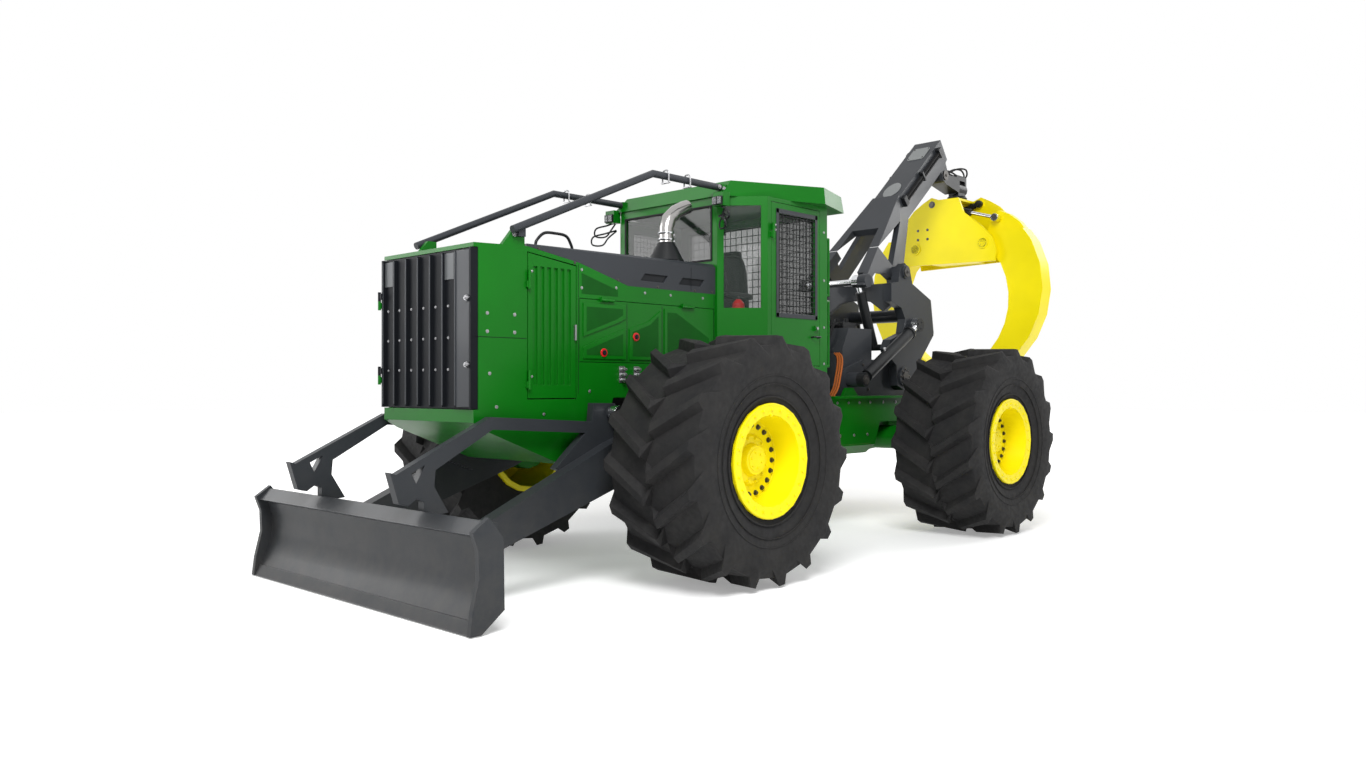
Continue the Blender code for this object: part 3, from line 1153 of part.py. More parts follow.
def build_cab_doors(machine):
    """The cab's doors, hinged at their front edge, with their windows cut."""
    for name, side in SIDES:
        axis_x = side * (CAB_HALF + CAB_DOOR_AXIS_OUT)
        axis_y = CAB_DOOR_Y[0]
        body = "cab_door_" + name
        machine.add_body(body, "root", (axis_x, axis_y, CAB_DOOR_Z[0]))
        span = side_span((CAB_HALF - CAB_WALL, CAB_HALF), side)
        door = block(span, CAB_DOOR_Y, CAB_DOOR_Z)
        hole_x = side_span((CAB_HALF - CAB_WALL - OVERRUN, CAB_HALF + OVERRUN), side)
        hinges = []
        for z in CAB_HINGE_Z:
            hinges.append(knuckle((axis_x, axis_y, z), (0, 0, 1)))
            hinges.append(block(side_span((CAB_HALF - CAB_WALL / 2, CAB_HALF + CAB_DOOR_AXIS_OUT), side),
                                (axis_y, axis_y + KNUCKLE_RADIUS), (z - KNUCKLE_LENGTH / 3, z + KNUCKLE_LENGTH / 3)))
        handle_z = (DOOR_WINDOW_Z[0] - 3 * CAB_WALL, DOOR_WINDOW_Z[0] - 2 * CAB_WALL)
        hinges.append(block(side_span((CAB_HALF - CAB_WALL / 2, CAB_HALF + CAB_WALL / 2), side),
                            (CAB_DOOR_Y[1] - 2 * CAB_WALL, CAB_DOOR_Y[1] - CAB_WALL), handle_z))
        machine.add_node(body, combine(door, hinges, [block(hole_x, DOOR_WINDOW_Y, DOOR_WINDOW_Z)]),
                         "green_paint", body)


def build_cab_inside(machine):
    """The operator's seat and the console in front of it."""
    floor_z = CAB_LOW_Z + CAB_FLOOR + SEAT_GAP
    pan_y = (SEAT_Y - SEAT_PAN_DEPTH / 2, SEAT_Y + SEAT_PAN_DEPTH / 2)
    pan = chamfered_block((-SEAT_HALF, SEAT_HALF), pan_y, SEAT_PAN_Z, RAIL_RADIUS * 2)
    back_low = (pan_y[1] - SEAT_BACK_THICKNESS, SEAT_PAN_Z[0])
    back = plate_x([back_low, (pan_y[1], SEAT_PAN_Z[0]), (pan_y[1] + SEAT_BACK_THICKNESS, SEAT_BACK_Z),
                    (pan_y[1] + SEAT_BACK_THICKNESS / 4, SEAT_BACK_Z)], -SEAT_HALF, SEAT_HALF)
    post = block((-SEAT_POST_HALF, SEAT_POST_HALF), (SEAT_Y - SEAT_POST_HALF, SEAT_Y + SEAT_POST_HALF),
                 (floor_z, SEAT_PAN_Z[0] + OVERRUN))
    adds = [back, post]
    for _, side in SIDES:
        arm_x = side_span((ARMREST_X - ARMREST_HALF, ARMREST_X + ARMREST_HALF), side)
        adds.append(block(arm_x, pan_y, ARMREST_Z))
        adds.append(block(side_span((SEAT_HALF - OVERRUN, ARMREST_X), side), (SEAT_Y - ARMREST_HALF, SEAT_Y + ARMREST_HALF),
                          (SEAT_PAN_Z[0] + OVERRUN, ARMREST_Z[0] + OVERRUN)))
    machine.add_node("operator_seat", combine(pan, adds), "black_vinyl")

    desk = plate_x([(CONSOLE_Y[0], floor_z), (CONSOLE_Y[1], floor_z), (CONSOLE_Y[1], CONSOLE_Z - CONSOLE_SCREEN),
                    (CONSOLE_Y[0] + CONSOLE_SCREEN / 4, CONSOLE_Z), (CONSOLE_Y[0], CONSOLE_Z)],
                   -CONSOLE_HALF, CONSOLE_HALF)
    screen = block((CONSOLE_HALF - 2 * CONSOLE_SCREEN, CONSOLE_HALF), (CONSOLE_Y[0], CONSOLE_Y[0] + OVERRUN),
                   (CONSOLE_Z - OVERRUN, CONSOLE_Z + CONSOLE_SCREEN))
    machine.add_node("control_console", combine(desk, [screen]), "black_vinyl")


def build_guards(machine):
    """The tubes that part the brush over the hood, and the exhaust stack."""
    for name, side in SIDES:
        route = [(side * GUARD_X, y, z) for y, z in GUARD_ROUTE_YZ]
        tab = block(side_span((HOOD_HALF + SEAT_GAP, GUARD_X), side), GUARD_TAB_Y, GUARD_TAB_Z)
        guard = combine(tube(route, GUARD_RADIUS), [tab])
        machine.add_node("brush_guard_" + name, guard, "grey_paint")
    base_z = HOOD_TOP_Z + 2 * SEAT_GAP
    cone = rod((STACK_X, STACK_Y, base_z), (STACK_X, STACK_Y, STACK_CONE_Z), STACK_CONE_RADIUS, FINE_SIDES,
               STACK_PIPE_RADIUS)
    start_z = STACK_CONE_Z - OVERRUN
    route = [(STACK_X, STACK_Y + a * STACK_RUN_Y, start_z + b * STACK_RISE_Z) for a, b in STACK_ROUTE_SHARES]
    pipe = tube(route, STACK_PIPE_RADIUS)
    machine.add_node("exhaust_stack", combine(cone, [pipe]), "exhaust_steel")


# Rear frame

def build_rear_frame(machine):
    """The rear chassis: neck, pivot tongues, deck flange and axle notch."""
    machine.add_body("rear_frame", "root", (0, HALF_BASE, AXLE_Z))
    outline = from_shares(REAR_FRAME_SHARES, (WHEELBASE, AXLE_Z), HALF_BASE)
    base = plate_x(outline, -REAR_FRAME_HALF, REAR_FRAME_HALF)
    low_z, front_y, rear_y = outline[0][1], outline[0][0], outline[5][0]
    adds = [
        block((-FLANGE_HALF, FLANGE_HALF), (front_y, rear_y), (DECK_Z - FLANGE_THICKNESS, DECK_Z - SEAT_GAP)),
        block((-NECK_HALF, NECK_HALF), NECK_Y, (TONGUE_LOW_Z[0], TONGUE_HIGH_Z[1])),
        block((-EAR_HALF, EAR_HALF), EAR_Y, TONGUE_HIGH_Z),
    ]
    cuts = []
    for low, high in (TONGUE_LOW_Z, TONGUE_HIGH_Z):
        adds.append(block((-TONGUE_HALF, TONGUE_HALF), (HALF_BASE, NECK_Y[0] + OVERRUN), (low, high)))
        adds.append(rod((0, HALF_BASE, low), (0, HALF_BASE, high), TONGUE_HALF, FINE_SIDES))
        cuts.append(rod((0, HALF_BASE, low - OVERRUN), (0, HALF_BASE, high + OVERRUN), PIVOT_HOLE_RADIUS, FINE_SIDES))
    for _, side in SIDES:
        keel = [(side * (REAR_FRAME_HALF + OVERRUN), low_z - OVERRUN), (side * (REAR_FRAME_HALF + OVERRUN),
                low_z + REAR_KEEL_CHAMFER), (side * (REAR_FRAME_HALF - REAR_KEEL_CHAMFER), low_z - OVERRUN)]
        cuts.append(plate_y(keel, front_y - OVERRUN, rear_y + OVERRUN))
        gusset = from_shares(GUSSET_SHARES, (WHEELBASE, AXLE_Z - OVERRUN), HALF_BASE)
        span = side_span((REAR_FRAME_HALF - EYE_WIDTH / 2, REAR_FRAME_HALF), side)
        adds.append(plate_x(gusset, span[0], span[1]))
        adds.append(rod((side * STEER_EYE_X, STEER_EYE_Y, TONGUE_HIGH_Z[0]),
                        (side * STEER_EYE_X, STEER_EYE_Y, STEER_Z[0] - PIN_GAP), STEER_EYE_RADIUS))
    machine.add_node("rear_frame", combine(base, adds, cuts), "green_paint", "rear_frame")


def build_steering(machine):
    """The two steering cylinders across the pivot."""
    radii = (STEER_BARREL_RADIUS, STEER_ROD_RADIUS, STEER_EYE_RADIUS, (STEER_Z[1] - STEER_Z[0]) / 2)
    z = (STEER_Z[0] + STEER_Z[1]) / 2
    for name, side in SIDES:
        cylinder_pair(machine, "steering_cylinder_" + name, (side * STEER_BASE_X, STEER_BASE_Y, z),
                      (side * STEER_EYE_X, STEER_EYE_Y, z), (0, 0, 1), "root", radii, STEER_SHARES)


# Arch and boom

def build_arch(machine):
    """The arch base with its valve tower, the arch, and the arch cylinders."""
    pivot = (ARCH_PIVOT_Y, ARCH_PIVOT_Z)
    tower_points = [
        (TOWER_Y[0], DECK_Z), (TOWER_Y[1], DECK_Z), (TOWER_Y[1], TOWER_TOP_Z),
        (TOWER_Y[0] + TOWER_CHAMFER, TOWER_TOP_Z), (TOWER_Y[0], TOWER_TOP_Z - 2 * TOWER_CHAMFER),
    ]
    tower = plate_x(tower_points, -ARCH_BASE_X[0] - OVERRUN, ARCH_BASE_X[0] + OVERRUN)
    adds = []
    for _, side in SIDES:
        span = side_span(ARCH_BASE_X, side)
        outline = from_shares(ARCH_BASE_SHARES, pivot, ARCH_HEIGHT)
        adds.append(plate_x(outline, span[0], span[1]))
        boss_x = side * (CYLINDER_X - EYE_WIDTH / 2 - PIN_GAP)
        adds.append(rod((side * ARCH_BASE_X[0], *ARCH_BASE_PIN), (boss_x, *ARCH_BASE_PIN), EYE_RADIUS))
    machine.add_node("arch_base", combine(tower, adds), "grey_paint", "rear_frame")

    machine.add_body("arch", "rear_frame", (0, *pivot))
    plate_points = from_shares(CROSS_PLATE_SHARES, (0, ARCH_PIVOT_Z), (ARCH_X[0] + OVERRUN, ARCH_HEIGHT))
    cross = plate_y(plate_points, CROSS_PLATE_Y[0], CROSS_PLATE_Y[1])
    adds = [rod((-ARCH_X[0] - OVERRUN, REAR_TUBE_Y, REAR_TUBE_Z), (ARCH_X[0] + OVERRUN, REAR_TUBE_Y, REAR_TUBE_Z),
                REAR_TUBE_RADIUS)]
    for _, side in SIDES:
        span = side_span(ARCH_X, side)
        adds.append(plate_x(from_shares(ARCH_SHARES, pivot, ARCH_HEIGHT), span[0], span[1]))
        inside, outside = side * (ARCH_X[0] + OVERRUN), side * (ARCH_X[1] + OVERRUN)
        adds.append(rod((inside, *pivot), (outside, *pivot), ARCH_BOSS_RADIUS))
        adds.append(rod((inside, BOOM_PIVOT_Y, BOOM_PIVOT_Z), (outside, BOOM_PIVOT_Y, BOOM_PIVOT_Z), EYE_RADIUS))
        adds.append(rod((inside, *ARCH_HEAD_PIN), (side * (CYLINDER_X - EYE_WIDTH / 2 - PIN_GAP), *ARCH_HEAD_PIN),
                        EYE_RADIUS))
    machine.add_node("arch", combine(cross, adds), "grey_paint", "arch")

    radii = (ARCH_BARREL_RADIUS, ARCH_ROD_RADIUS, EYE_RADIUS, EYE_WIDTH / 2)
    for name, side in SIDES:
        cylinder_pair(machine, "arch_cylinder_" + name, (side * CYLINDER_X, *ARCH_BASE_PIN),
                      (side * CYLINDER_X, *ARCH_HEAD_PIN), (1, 0, 0), "rear_frame", radii, ARCH_CYLINDER_SHARES)


def boom_spot(share):
    """A place in the boom's side view."""
    return (BOOM_PIVOT_Y + share[0] * BOOM_LENGTH, BOOM_PIVOT_Z + share[1] * BOOM_LENGTH)


def build_boom(machine):
    """The boom: a splayed two-legged base that narrows into a box beam."""
    machine.add_body("boom", "arch", (0, BOOM_PIVOT_Y, BOOM_PIVOT_Z))
    front_low, rear_low = boom_spot(BOOM_BASE_SHARES["front"]), boom_spot(BOOM_BASE_SHARES["rear"])
    front_high, rear_high = boom_spot(BOOM_ELBOW_SHARES["front"]), boom_spot(BOOM_ELBOW_SHARES["rear"])

    def wedge(wall, drop):
        """The splayed base, or the room inside it where wall and drop are given."""
        corners = []
        for side in (1, -1):
            for (y, z), half in ((front_low, BOOM_HALF_FOOT), (rear_low, BOOM_HALF_FOOT)):
                shift = wall if (y, z) == front_low else -wall
                corners.append((side * (half - wall), y + shift, z - drop))
            for (y, z), half in ((front_high, BOOM_HALF_TOP), (rear_high, BOOM_HALF_TOP)):
                shift = wall if (y, z) == front_high else -wall
                corners.append((side * (half - wall), y + shift, z - 2 * wall))
        return hull(corners)

    beam = plate_x(from_shares(BEAM_SHARES, (BOOM_PIVOT_Y, BOOM_PIVOT_Z), BOOM_LENGTH), -BOOM_HALF_TOP, BOOM_HALF_TOP)
    low_share, high_share, width_share = BOOM_WINDOW_SHARES
    window = []
    for share in (low_share, high_share):
        y = front_low[0] + share * (front_high[0] - front_low[0])
        z = front_low[1] + share * (front_high[1] - front_low[1])
        half = (BOOM_HALF_FOOT + share * (BOOM_HALF_TOP - BOOM_HALF_FOOT)) * width_share
        for side in (1, -1):
            for reach in (-3 * BOOM_PLATE, 3 * BOOM_PLATE):
                window.append((side * half, y + reach, z - reach))
    side_cut = from_shares(BOOM_SIDE_CUT_SHARES, (BOOM_PIVOT_Y, BOOM_PIVOT_Z), BOOM_LENGTH)
    pocket = from_shares(BOOM_POCKET_SHARES, (BOOM_PIVOT_Y, BOOM_PIVOT_Z), BOOM_LENGTH)
    crotch = from_shares(BOOM_CROTCH_SHARES, (BOOM_PIVOT_Y, BOOM_PIVOT_Z), BOOM_LENGTH)
    wide = BOOM_HALF_FOOT + OVERRUN
    cuts = [wedge(BOOM_PLATE, 3 * BOOM_PLATE), hull(window), plate_x(side_cut, -wide, wide),
            plate_x(crotch, -wide, wide), plate_x(pocket, -BOOM_POCKET_HALF, BOOM_POCKET_HALF)]
    base = combine(wedge(0, 0), [], cuts)
    adds = [beam]
    for _, side in SIDES:
        inner, outer = side * (BOOM_HALF_FOOT - BOOM_PLATE), side * (ARCH_X[0] - PIN_GAP)
        adds.append(rod((inner, BOOM_PIVOT_Y, BOOM_PIVOT_Z), (outer, BOOM_PIVOT_Y, BOOM_PIVOT_Z), EYE_RADIUS))
        adds.append(rod((side * (BOOM_CYLINDER_X + EYE_WIDTH / 2 + PIN_GAP), *BOOM_FOOT),
                        (side * BOOM_HALF_FOOT, *BOOM_FOOT), EYE_RADIUS))
        lug = side_span(TIP_LUG_X, side)
        adds.append(rod((lug[0], *TIP_PIN), (lug[1], *TIP_PIN), TIP_LUG_RADIUS))
        adds.append(plate_x([(TIP_PIN[0] - TIP_LUG_RADIUS, TIP_PIN[1]), (TIP_PIN[0] + TIP_LUG_RADIUS, TIP_PIN[1]),
                             (TIP_PIN[0], TIP_PIN[1] + 2 * TIP_LUG_RADIUS),
                             (TIP_PIN[0] - 2 * TIP_LUG_RADIUS, TIP_PIN[1] + TIP_LUG_RADIUS)], lug[0], lug[1]))
    machine.add_node("boom", combine(base, adds), "grey_paint", "boom")


def build_boom_cylinders(machine):
    """The paired boom cylinders, their barrels and their rods each on one shaft."""
    base, head = Vector((0, *BOOM_LUG)), Vector((0, *BOOM_FOOT))
    direction = (head - base).normalized()
    mouth = base + direction * (head - base).length * BOOM_MOUTH_SHARE
    machine.add_body("boom_cylinder_barrels", "arch", base)
    machine.add_body("boom_cylinder_rods", "boom_cylinder_barrels", head)
    shaft_half = ARCH_X[0] - PIN_GAP
    barrels, bores, rods = [], [], []
    for _, side in SIDES:
        shift = Vector((side * BOOM_CYLINDER_X, 0, 0))
        barrels.append(rod(base + shift, mouth + shift, BOOM_BARREL_RADIUS))
        bores.append(rod(base + shift + direction * EYE_RADIUS, mouth + shift + direction * OVERRUN,
                         BOOM_ROD_RADIUS + SEAT_GAP))
        rods.append(rod(base + shift + direction * (EYE_RADIUS + PIN_GAP), head + shift, BOOM_ROD_RADIUS))
        rods.append(eye(head + shift, (1, 0, 0), EYE_WIDTH / 2, BOOM_EYE_RADIUS))
    low_shaft = rod((-shaft_half, *BOOM_LUG), (shaft_half, *BOOM_LUG), BOOM_SHAFT_RADIUS)
    machine.add_node("boom_cylinder_barrels", combine(low_shaft, barrels, bores), "black_metal", "boom_cylinder_barrels")
    high_shaft = rod((-BOOM_CYLINDER_X, *BOOM_FOOT), (BOOM_CYLINDER_X, *BOOM_FOOT), BOOM_ROD_RADIUS)
    machine.add_node("boom_cylinder_rods", combine(high_shaft, rods), "chrome_rod", "boom_cylinder_rods")


# Grapple

def build_crosshead(machine):
    """The link under the boom's tip and the rotator that swings sideways in it."""
    machine.add_body("crosshead", "boom", (0, *TIP_PIN))
    tip_y, tip_z = TIP_PIN
    half = LINK_THICKNESS / 2
    swing = (SWING_PIN_Y, SWING_PIN_Z)
    fork_near = SWING_PIN_Y - SWING_FORK_Y[1]
    link_end = fork_near + OVERRUN
    link = plate_x([(tip_y - half / 2, tip_z - half), (fork_near, swing[1] - half), (link_end, swing[1] - half / 2),
                    (link_end, swing[1] + 2 * half), (tip_y, tip_z + half / 2)],
                   -CROSS_HALF + PIN_GAP, CROSS_HALF - PIN_GAP)
    adds = [eye((0, *TIP_PIN), (1, 0, 0), CROSS_HALF - PIN_GAP, TIP_LUG_RADIUS - PIN_GAP)]
    top_z = swing[1] + SWING_RADIUS + OVERRUN
    fork_far = SWING_PIN_Y + SWING_FORK_Y[1]
    adds.append(block((-SWING_STEM_HALF, SWING_STEM_HALF), (fork_near, fork_far), (swing[1], top_z + half)))
    adds.append(rod((0, fork_near - PIN_GAP, swing[1]), (0, fork_far + PIN_GAP, swing[1]), SWING_RADIUS))
    room = block((-SWING_RADIUS - OVERRUN, SWING_RADIUS + OVERRUN),
                 (SWING_PIN_Y - SWING_FORK_Y[0], SWING_PIN_Y + SWING_FORK_Y[0]), (swing[1] - 2 * half, top_z))
    machine.add_node("crosshead", combine(link, adds, [room]), "black_metal", "crosshead")

    machine.add_body("rotator_head", "crosshead", (0, *swing))
    head_half = SWING_FORK_Y[0] - PIN_GAP
    hanger = rod((0, SWING_PIN_Y - head_half, swing[1]), (0, SWING_PIN_Y + head_half, swing[1]), SWING_RADIUS)
    stem = block((-SWING_STEM_HALF, SWING_STEM_HALF), (SWING_PIN_Y - head_half, SWING_PIN_Y + head_half),
                 (ROTATOR_Z[1] - OVERRUN / 2, swing[1]))
    disc = rod((0, GRAPPLE_Y, ROTATOR_Z[0]), (0, GRAPPLE_Y, ROTATOR_Z[1]), ROTATOR_RADIUS, FINE_SIDES)
    machine.add_node("rotator_head", combine(disc, [stem, hanger]), "black_metal", "rotator_head")


def grapple_points(shares, side=1):
    """Places on the grapple's front view, from shares of its radius."""
    return [(side * a * GRAPPLE_RADIUS, TONG_PIVOT_Z + b * GRAPPLE_RADIUS) for a, b in shares]


def build_grapple(machine):
    """The grapple's body, its two curved tongs and the cylinders that close them."""
    machine.add_body("grapple_body", "rotator_head", (0, GRAPPLE_Y, BODY_TOP_Z[1]))
    near_y, far_y = GRAPPLE_Y - GRAPPLE_DEPTH / 2, GRAPPLE_Y + GRAPPLE_DEPTH / 2
    front = plate_y(grapple_points(BODY_SHARES), near_y, near_y + GRAPPLE_PLATE)
    rear = plate_y(grapple_points(BODY_SHARES, -1), far_y - GRAPPLE_PLATE, far_y)
    floor_half = BODY_FLOOR_HALF_SHARE * GRAPPLE_RADIUS
    floor_low = TONG_PIVOT_Z + BODY_SHARES[0][1] * GRAPPLE_RADIUS
    adds = [
        rear,
        block((-floor_half, floor_half), (near_y + GRAPPLE_PLATE / 2, far_y - GRAPPLE_PLATE / 2),
              (floor_low, floor_low + GRAPPLE_PLATE)),
        block((-BODY_TOP_HALF, BODY_TOP_HALF), (near_y + GRAPPLE_PLATE / 2, far_y - GRAPPLE_PLATE / 2), BODY_TOP_Z),
    ]
    for side in (1, -1):
        adds.append(block(side_span((floor_half - GRAPPLE_PLATE, floor_half), side),
                          (near_y + GRAPPLE_PLATE / 2, far_y - GRAPPLE_PLATE / 2), (floor_low, TONG_PIVOT_Z)))
        boss_x = side * TONG_PIVOT_X
        for start, step in ((near_y - GRAPPLE_PLATE / 2, 1), (far_y + GRAPPLE_PLATE / 2, -1)):
            end = GRAPPLE_Y - step * (TONG_HALF_Y + PIN_GAP)
            adds.append(rod((boss_x, start, TONG_PIVOT_Z), (boss_x, end, TONG_PIVOT_Z), EYE_RADIUS))
        base_y = GRAPPLE_Y - side * CLAMP_Y
        plate_y_place = near_y + GRAPPLE_PLATE / 2 if side > 0 else far_y - GRAPPLE_PLATE / 2
        eye_face = base_y - side * (CLAMP_EYE_RADIUS / 2 + PIN_GAP)
        adds.append(rod((side * CLAMP_BASE[0], plate_y_place, CLAMP_BASE[1]), (side * CLAMP_BASE[0], eye_face, CLAMP_BASE[1]),
                        CLAMP_EYE_RADIUS))
    machine.add_node("grapple_body", combine(front, adds), "yellow_paint", "grapple_body")

    for name, side in SIDES:
        build_tong(machine, name, side)


def tong_outline():
    """One tong in front view: lever head, outer arc, tip, inner arc and pivot lobe."""
    points = grapple_points(TONG_HEAD_SHARES)
    start = math.atan2(points[-1][1] - TONG_OUTER_CENTRE[1], points[-1][0] - TONG_OUTER_CENTRE[0])
    outer_end = -math.pi / 2
    for index in range(1, TONG_ARC_STEPS + 1):
        angle = start + (outer_end - start) * index / TONG_ARC_STEPS
        x = TONG_OUTER_CENTRE[0] + TONG_OUTER_RADIUS * math.cos(angle)
        points.append((max(x, TONG_TIP_GAP), TONG_OUTER_CENTRE[1] + TONG_OUTER_RADIUS * math.sin(angle)))
    root = grapple_points(TONG_ROOT_SHARES)
    inner_end = math.atan2(root[0][1] - TONG_INNER_CENTRE[1], root[0][0] - TONG_INNER_CENTRE[0])
    inner_start = -math.acos((TONG_TIP_GAP - TONG_INNER_CENTRE[0]) / TONG_INNER_RADIUS)
    for index in range(TONG_ARC_STEPS):
        angle = inner_start + (inner_end - inner_start) * index / TONG_ARC_STEPS
        points.append((TONG_INNER_CENTRE[0] + TONG_INNER_RADIUS * math.cos(angle),
                       TONG_INNER_CENTRE[1] + TONG_INNER_RADIUS * math.sin(angle)))
    return points + root


def build_tong(machine, name, side):
    """One tong on its pivot, and its clamp cylinder between the body's plates."""
    body = "tong_" + name
    machine.add_body(body, "grapple_body", (side * TONG_PIVOT_X, GRAPPLE_Y, TONG_PIVOT_Z))
    outline = [(side * x, z) for x, z in tong_outline()]
    solid = plate_y(outline, GRAPPLE_Y - TONG_HALF_Y, GRAPPLE_Y + TONG_HALF_Y)
    lever_y = GRAPPLE_Y - side * CLAMP_Y
    eye_face = lever_y + side * (CLAMP_EYE_RADIUS / 2 + PIN_GAP)
    boss = rod((side * TONG_LEVER[0], GRAPPLE_Y, TONG_LEVER[1]), (side * TONG_LEVER[0], eye_face, TONG_LEVER[1]),
               CLAMP_EYE_RADIUS)
    trims = []
    for step in (1, -1):
        trim_y = (GRAPPLE_Y + step * TONG_LEVER_HALF_Y, GRAPPLE_Y + step * (TONG_HALF_Y + OVERRUN))
        trims.append(block((-GRAPPLE_RADIUS, GRAPPLE_RADIUS), tuple(sorted(trim_y)),
                           (TONG_LEVER_LOW_Z, TONG_LEVER[1] + TONG_HALF_Y + GRAPPLE_PLATE)))
    machine.add_node(body, combine(combine(solid, [], trims), [boss]), "yellow_paint", body)
    radii = (CLAMP_BARREL_RADIUS, CLAMP_ROD_RADIUS, CLAMP_EYE_RADIUS, CLAMP_EYE_RADIUS / 2)
    cylinder_pair(machine, "clamp_cylinder_" + name, (side * CLAMP_BASE[0], lever_y, CLAMP_BASE[1]),
                  (side * TONG_LEVER[0], lever_y, TONG_LEVER[1]), (0, 1, 0), "grapple_body", radii, CLAMP_SHARES)


def main():
    """Build the whole machine."""
    clear_scene()
    machine = Machine()
    build_rear_frame(machine)
    build_wheels(machine)
    build_hood(machine)
    build_grille_door(machine)
    build_louvre_doors(machine)
    build_side_doors(machine)
    build_front_frame(machine)
    build_blade(machine)
    build_lift_cylinders(machine)
    build_cab(machine)
    build_cab_doors(machine)
    build_cab_inside(machine)
    build_guards(machine)
    build_steering(machine)
    build_arch(machine)
    build_boom(machine)
    build_boom_cylinders(machine)
    build_crosshead(machine)
    build_grapple(machine)


main()
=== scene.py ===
"""Looks of the grapple skidder: finishes, glazing, fasteners, hoses, seat and studio.

Metres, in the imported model's own frame: -Y is the machine's front, +X its left side, +Z up.
Places along the machine are counted from the front axle, which the front tyre's box gives.
"""

import math

import bmesh
import bpy
from mathutils import Matrix, Vector


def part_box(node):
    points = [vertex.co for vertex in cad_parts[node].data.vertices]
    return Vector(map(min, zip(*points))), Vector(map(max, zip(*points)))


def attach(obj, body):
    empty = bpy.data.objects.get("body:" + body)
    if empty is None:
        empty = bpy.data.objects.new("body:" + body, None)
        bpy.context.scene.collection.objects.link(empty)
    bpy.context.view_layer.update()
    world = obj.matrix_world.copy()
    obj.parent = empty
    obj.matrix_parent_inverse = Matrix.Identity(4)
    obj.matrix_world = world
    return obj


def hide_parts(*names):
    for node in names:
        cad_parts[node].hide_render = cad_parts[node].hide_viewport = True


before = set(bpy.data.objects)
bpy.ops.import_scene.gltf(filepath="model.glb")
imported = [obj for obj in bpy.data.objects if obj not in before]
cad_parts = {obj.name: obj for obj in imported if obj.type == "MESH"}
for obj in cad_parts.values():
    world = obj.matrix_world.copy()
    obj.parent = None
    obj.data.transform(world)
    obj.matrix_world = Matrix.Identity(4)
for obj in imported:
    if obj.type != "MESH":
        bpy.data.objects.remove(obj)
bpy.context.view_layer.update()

# Camera of the photograph, counted from the front axle
CAMERA_PLACE = (6.657, -5.983, 1.503)
CAMERA_TILT = math.pi / 2 + 0.003
CAMERA_TURN = 0.763
CAMERA_LENS = 27.12
SENSOR_WIDTH = 36.0

# Perforated panels on an engine door, as shares of its length and height
DOOR_SPAN_Y = (-0.800, 0.738)
DOOR_SPAN_Z = (1.700, 2.186)
DOOR_PANELS = (
    ((0.040, 0.110), (0.290, 0.110), (0.290, 0.470), (0.115, 0.270), (0.040, 0.190)),
    ((0.040, 0.480), (0.240, 0.700), (0.290, 0.780), (0.290, 0.880), (0.040, 0.880)),
    ((0.360, 0.110), (0.550, 0.110), (0.550, 0.800), (0.490, 0.650), (0.360, 0.510)),
    ((0.620, 0.110), (0.955, 0.110), (0.955, 0.470), (0.690, 0.880), (0.620, 0.880)),
)
HOOD_PANEL = ((-0.780, 2.225), (-0.400, 2.225), (-0.400, 2.275), (-0.780, 2.385))

# Vents in the hood top's sides: their reach along the machine and in height
VENT_SPANS = ((-0.150, 0.170), (0.300, 0.620))
VENT_Z = (2.375, 2.435)

# Place of the front axle, read from the frame
TYRE_LOW, TYRE_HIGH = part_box("tyre_front_left")
AXLE_Y = (TYRE_LOW[1] + TYRE_HIGH[1]) / 2

SIDES = (("left", 1), ("right", -1))
FORWARD, REARWARD, UPWARD, DOWNWARD = (0, -1, 0), (0, 1, 0), (0, 0, 1), (0, 0, -1)
SMOOTH_ANGLE = math.radians(38)
NODE_SMOOTH_ANGLE = math.radians(34)
# How far a small piece reaches into the face that it stands on
GAP = 0.0015
DUST = (0.20, 0.17, 0.13)
DUST_TOP_Z = 1.1
HOLE_PITCH = 0.011


def at(x, y, z):
    """A place counted from the front axle's middle at ground level."""
    return Vector((x, y + AXLE_Y, z))


def spaced(start, pitch, count):
    """Evenly spaced places."""
    return [start + index * pitch for index in range(count)]


# Materials

def feed(tree, target, inputs):
    """Set a node's inputs, each to a value or to another node's output."""
    for key, value in inputs.items():
        socket = target.inputs[key]
        if isinstance(value, bpy.types.NodeSocket):
            tree.links.new(value, socket)
        else:
            socket.default_value = (*value, 1.0) if socket.type == "RGBA" else value


def node(tree, kind, inputs, **settings):
    """A new node, with its settings made before its inputs."""
    made = tree.nodes.new("ShaderNode" + kind)
    for key, value in settings.items():
        setattr(made, key, value)
    feed(tree, made, inputs)
    return made


def node_chain(name):
    """A new node material, with its tree, its shader and its object coordinates."""
    material = bpy.data.materials.new(name)
    material.use_nodes = True
    tree = material.node_tree
    return material, tree, tree.nodes["Principled BSDF"], node(tree, "TexCoord", {}).outputs["Object"]


def noise(tree, vector, scale, detail=4.0, roughness=0.5):
    """A noise texture's grey output."""
    inputs = {"Vector": vector, "Scale": scale, "Detail": detail, "Roughness": roughness}
    return node(tree, "TexNoise", inputs).outputs["Fac"]


def spread(tree, value, low, high, start=0.3, end=0.7):
    """A grey value stretched from low to high."""
    inputs = {"Value": value, "From Min": start, "From Max": end, "To Min": low, "To Max": high}
    return node(tree, "MapRange", inputs).outputs["Result"]


def mixed(tree, factor, first, second):
    """Two colours mixed by a factor socket."""
    return node(tree, "Mix", {0: factor, 6: first, 7: second}, data_type="RGBA").outputs[2]


def shade(colour, factor):
    """A colour made lighter or darker."""
    return tuple(min(1.0, channel * factor) for channel in colour)


def rounded_normal(tree, radius, height, strength, distance):
    """A normal with softened edges, bumped by a height."""
    soft = node(tree, "Bevel", {"Radius": radius}, samples=4).outputs["Normal"]
    inputs = {"Strength": strength, "Distance": distance, "Height": height, "Normal": soft}
    return node(tree, "Bump", inputs).outputs["Normal"]


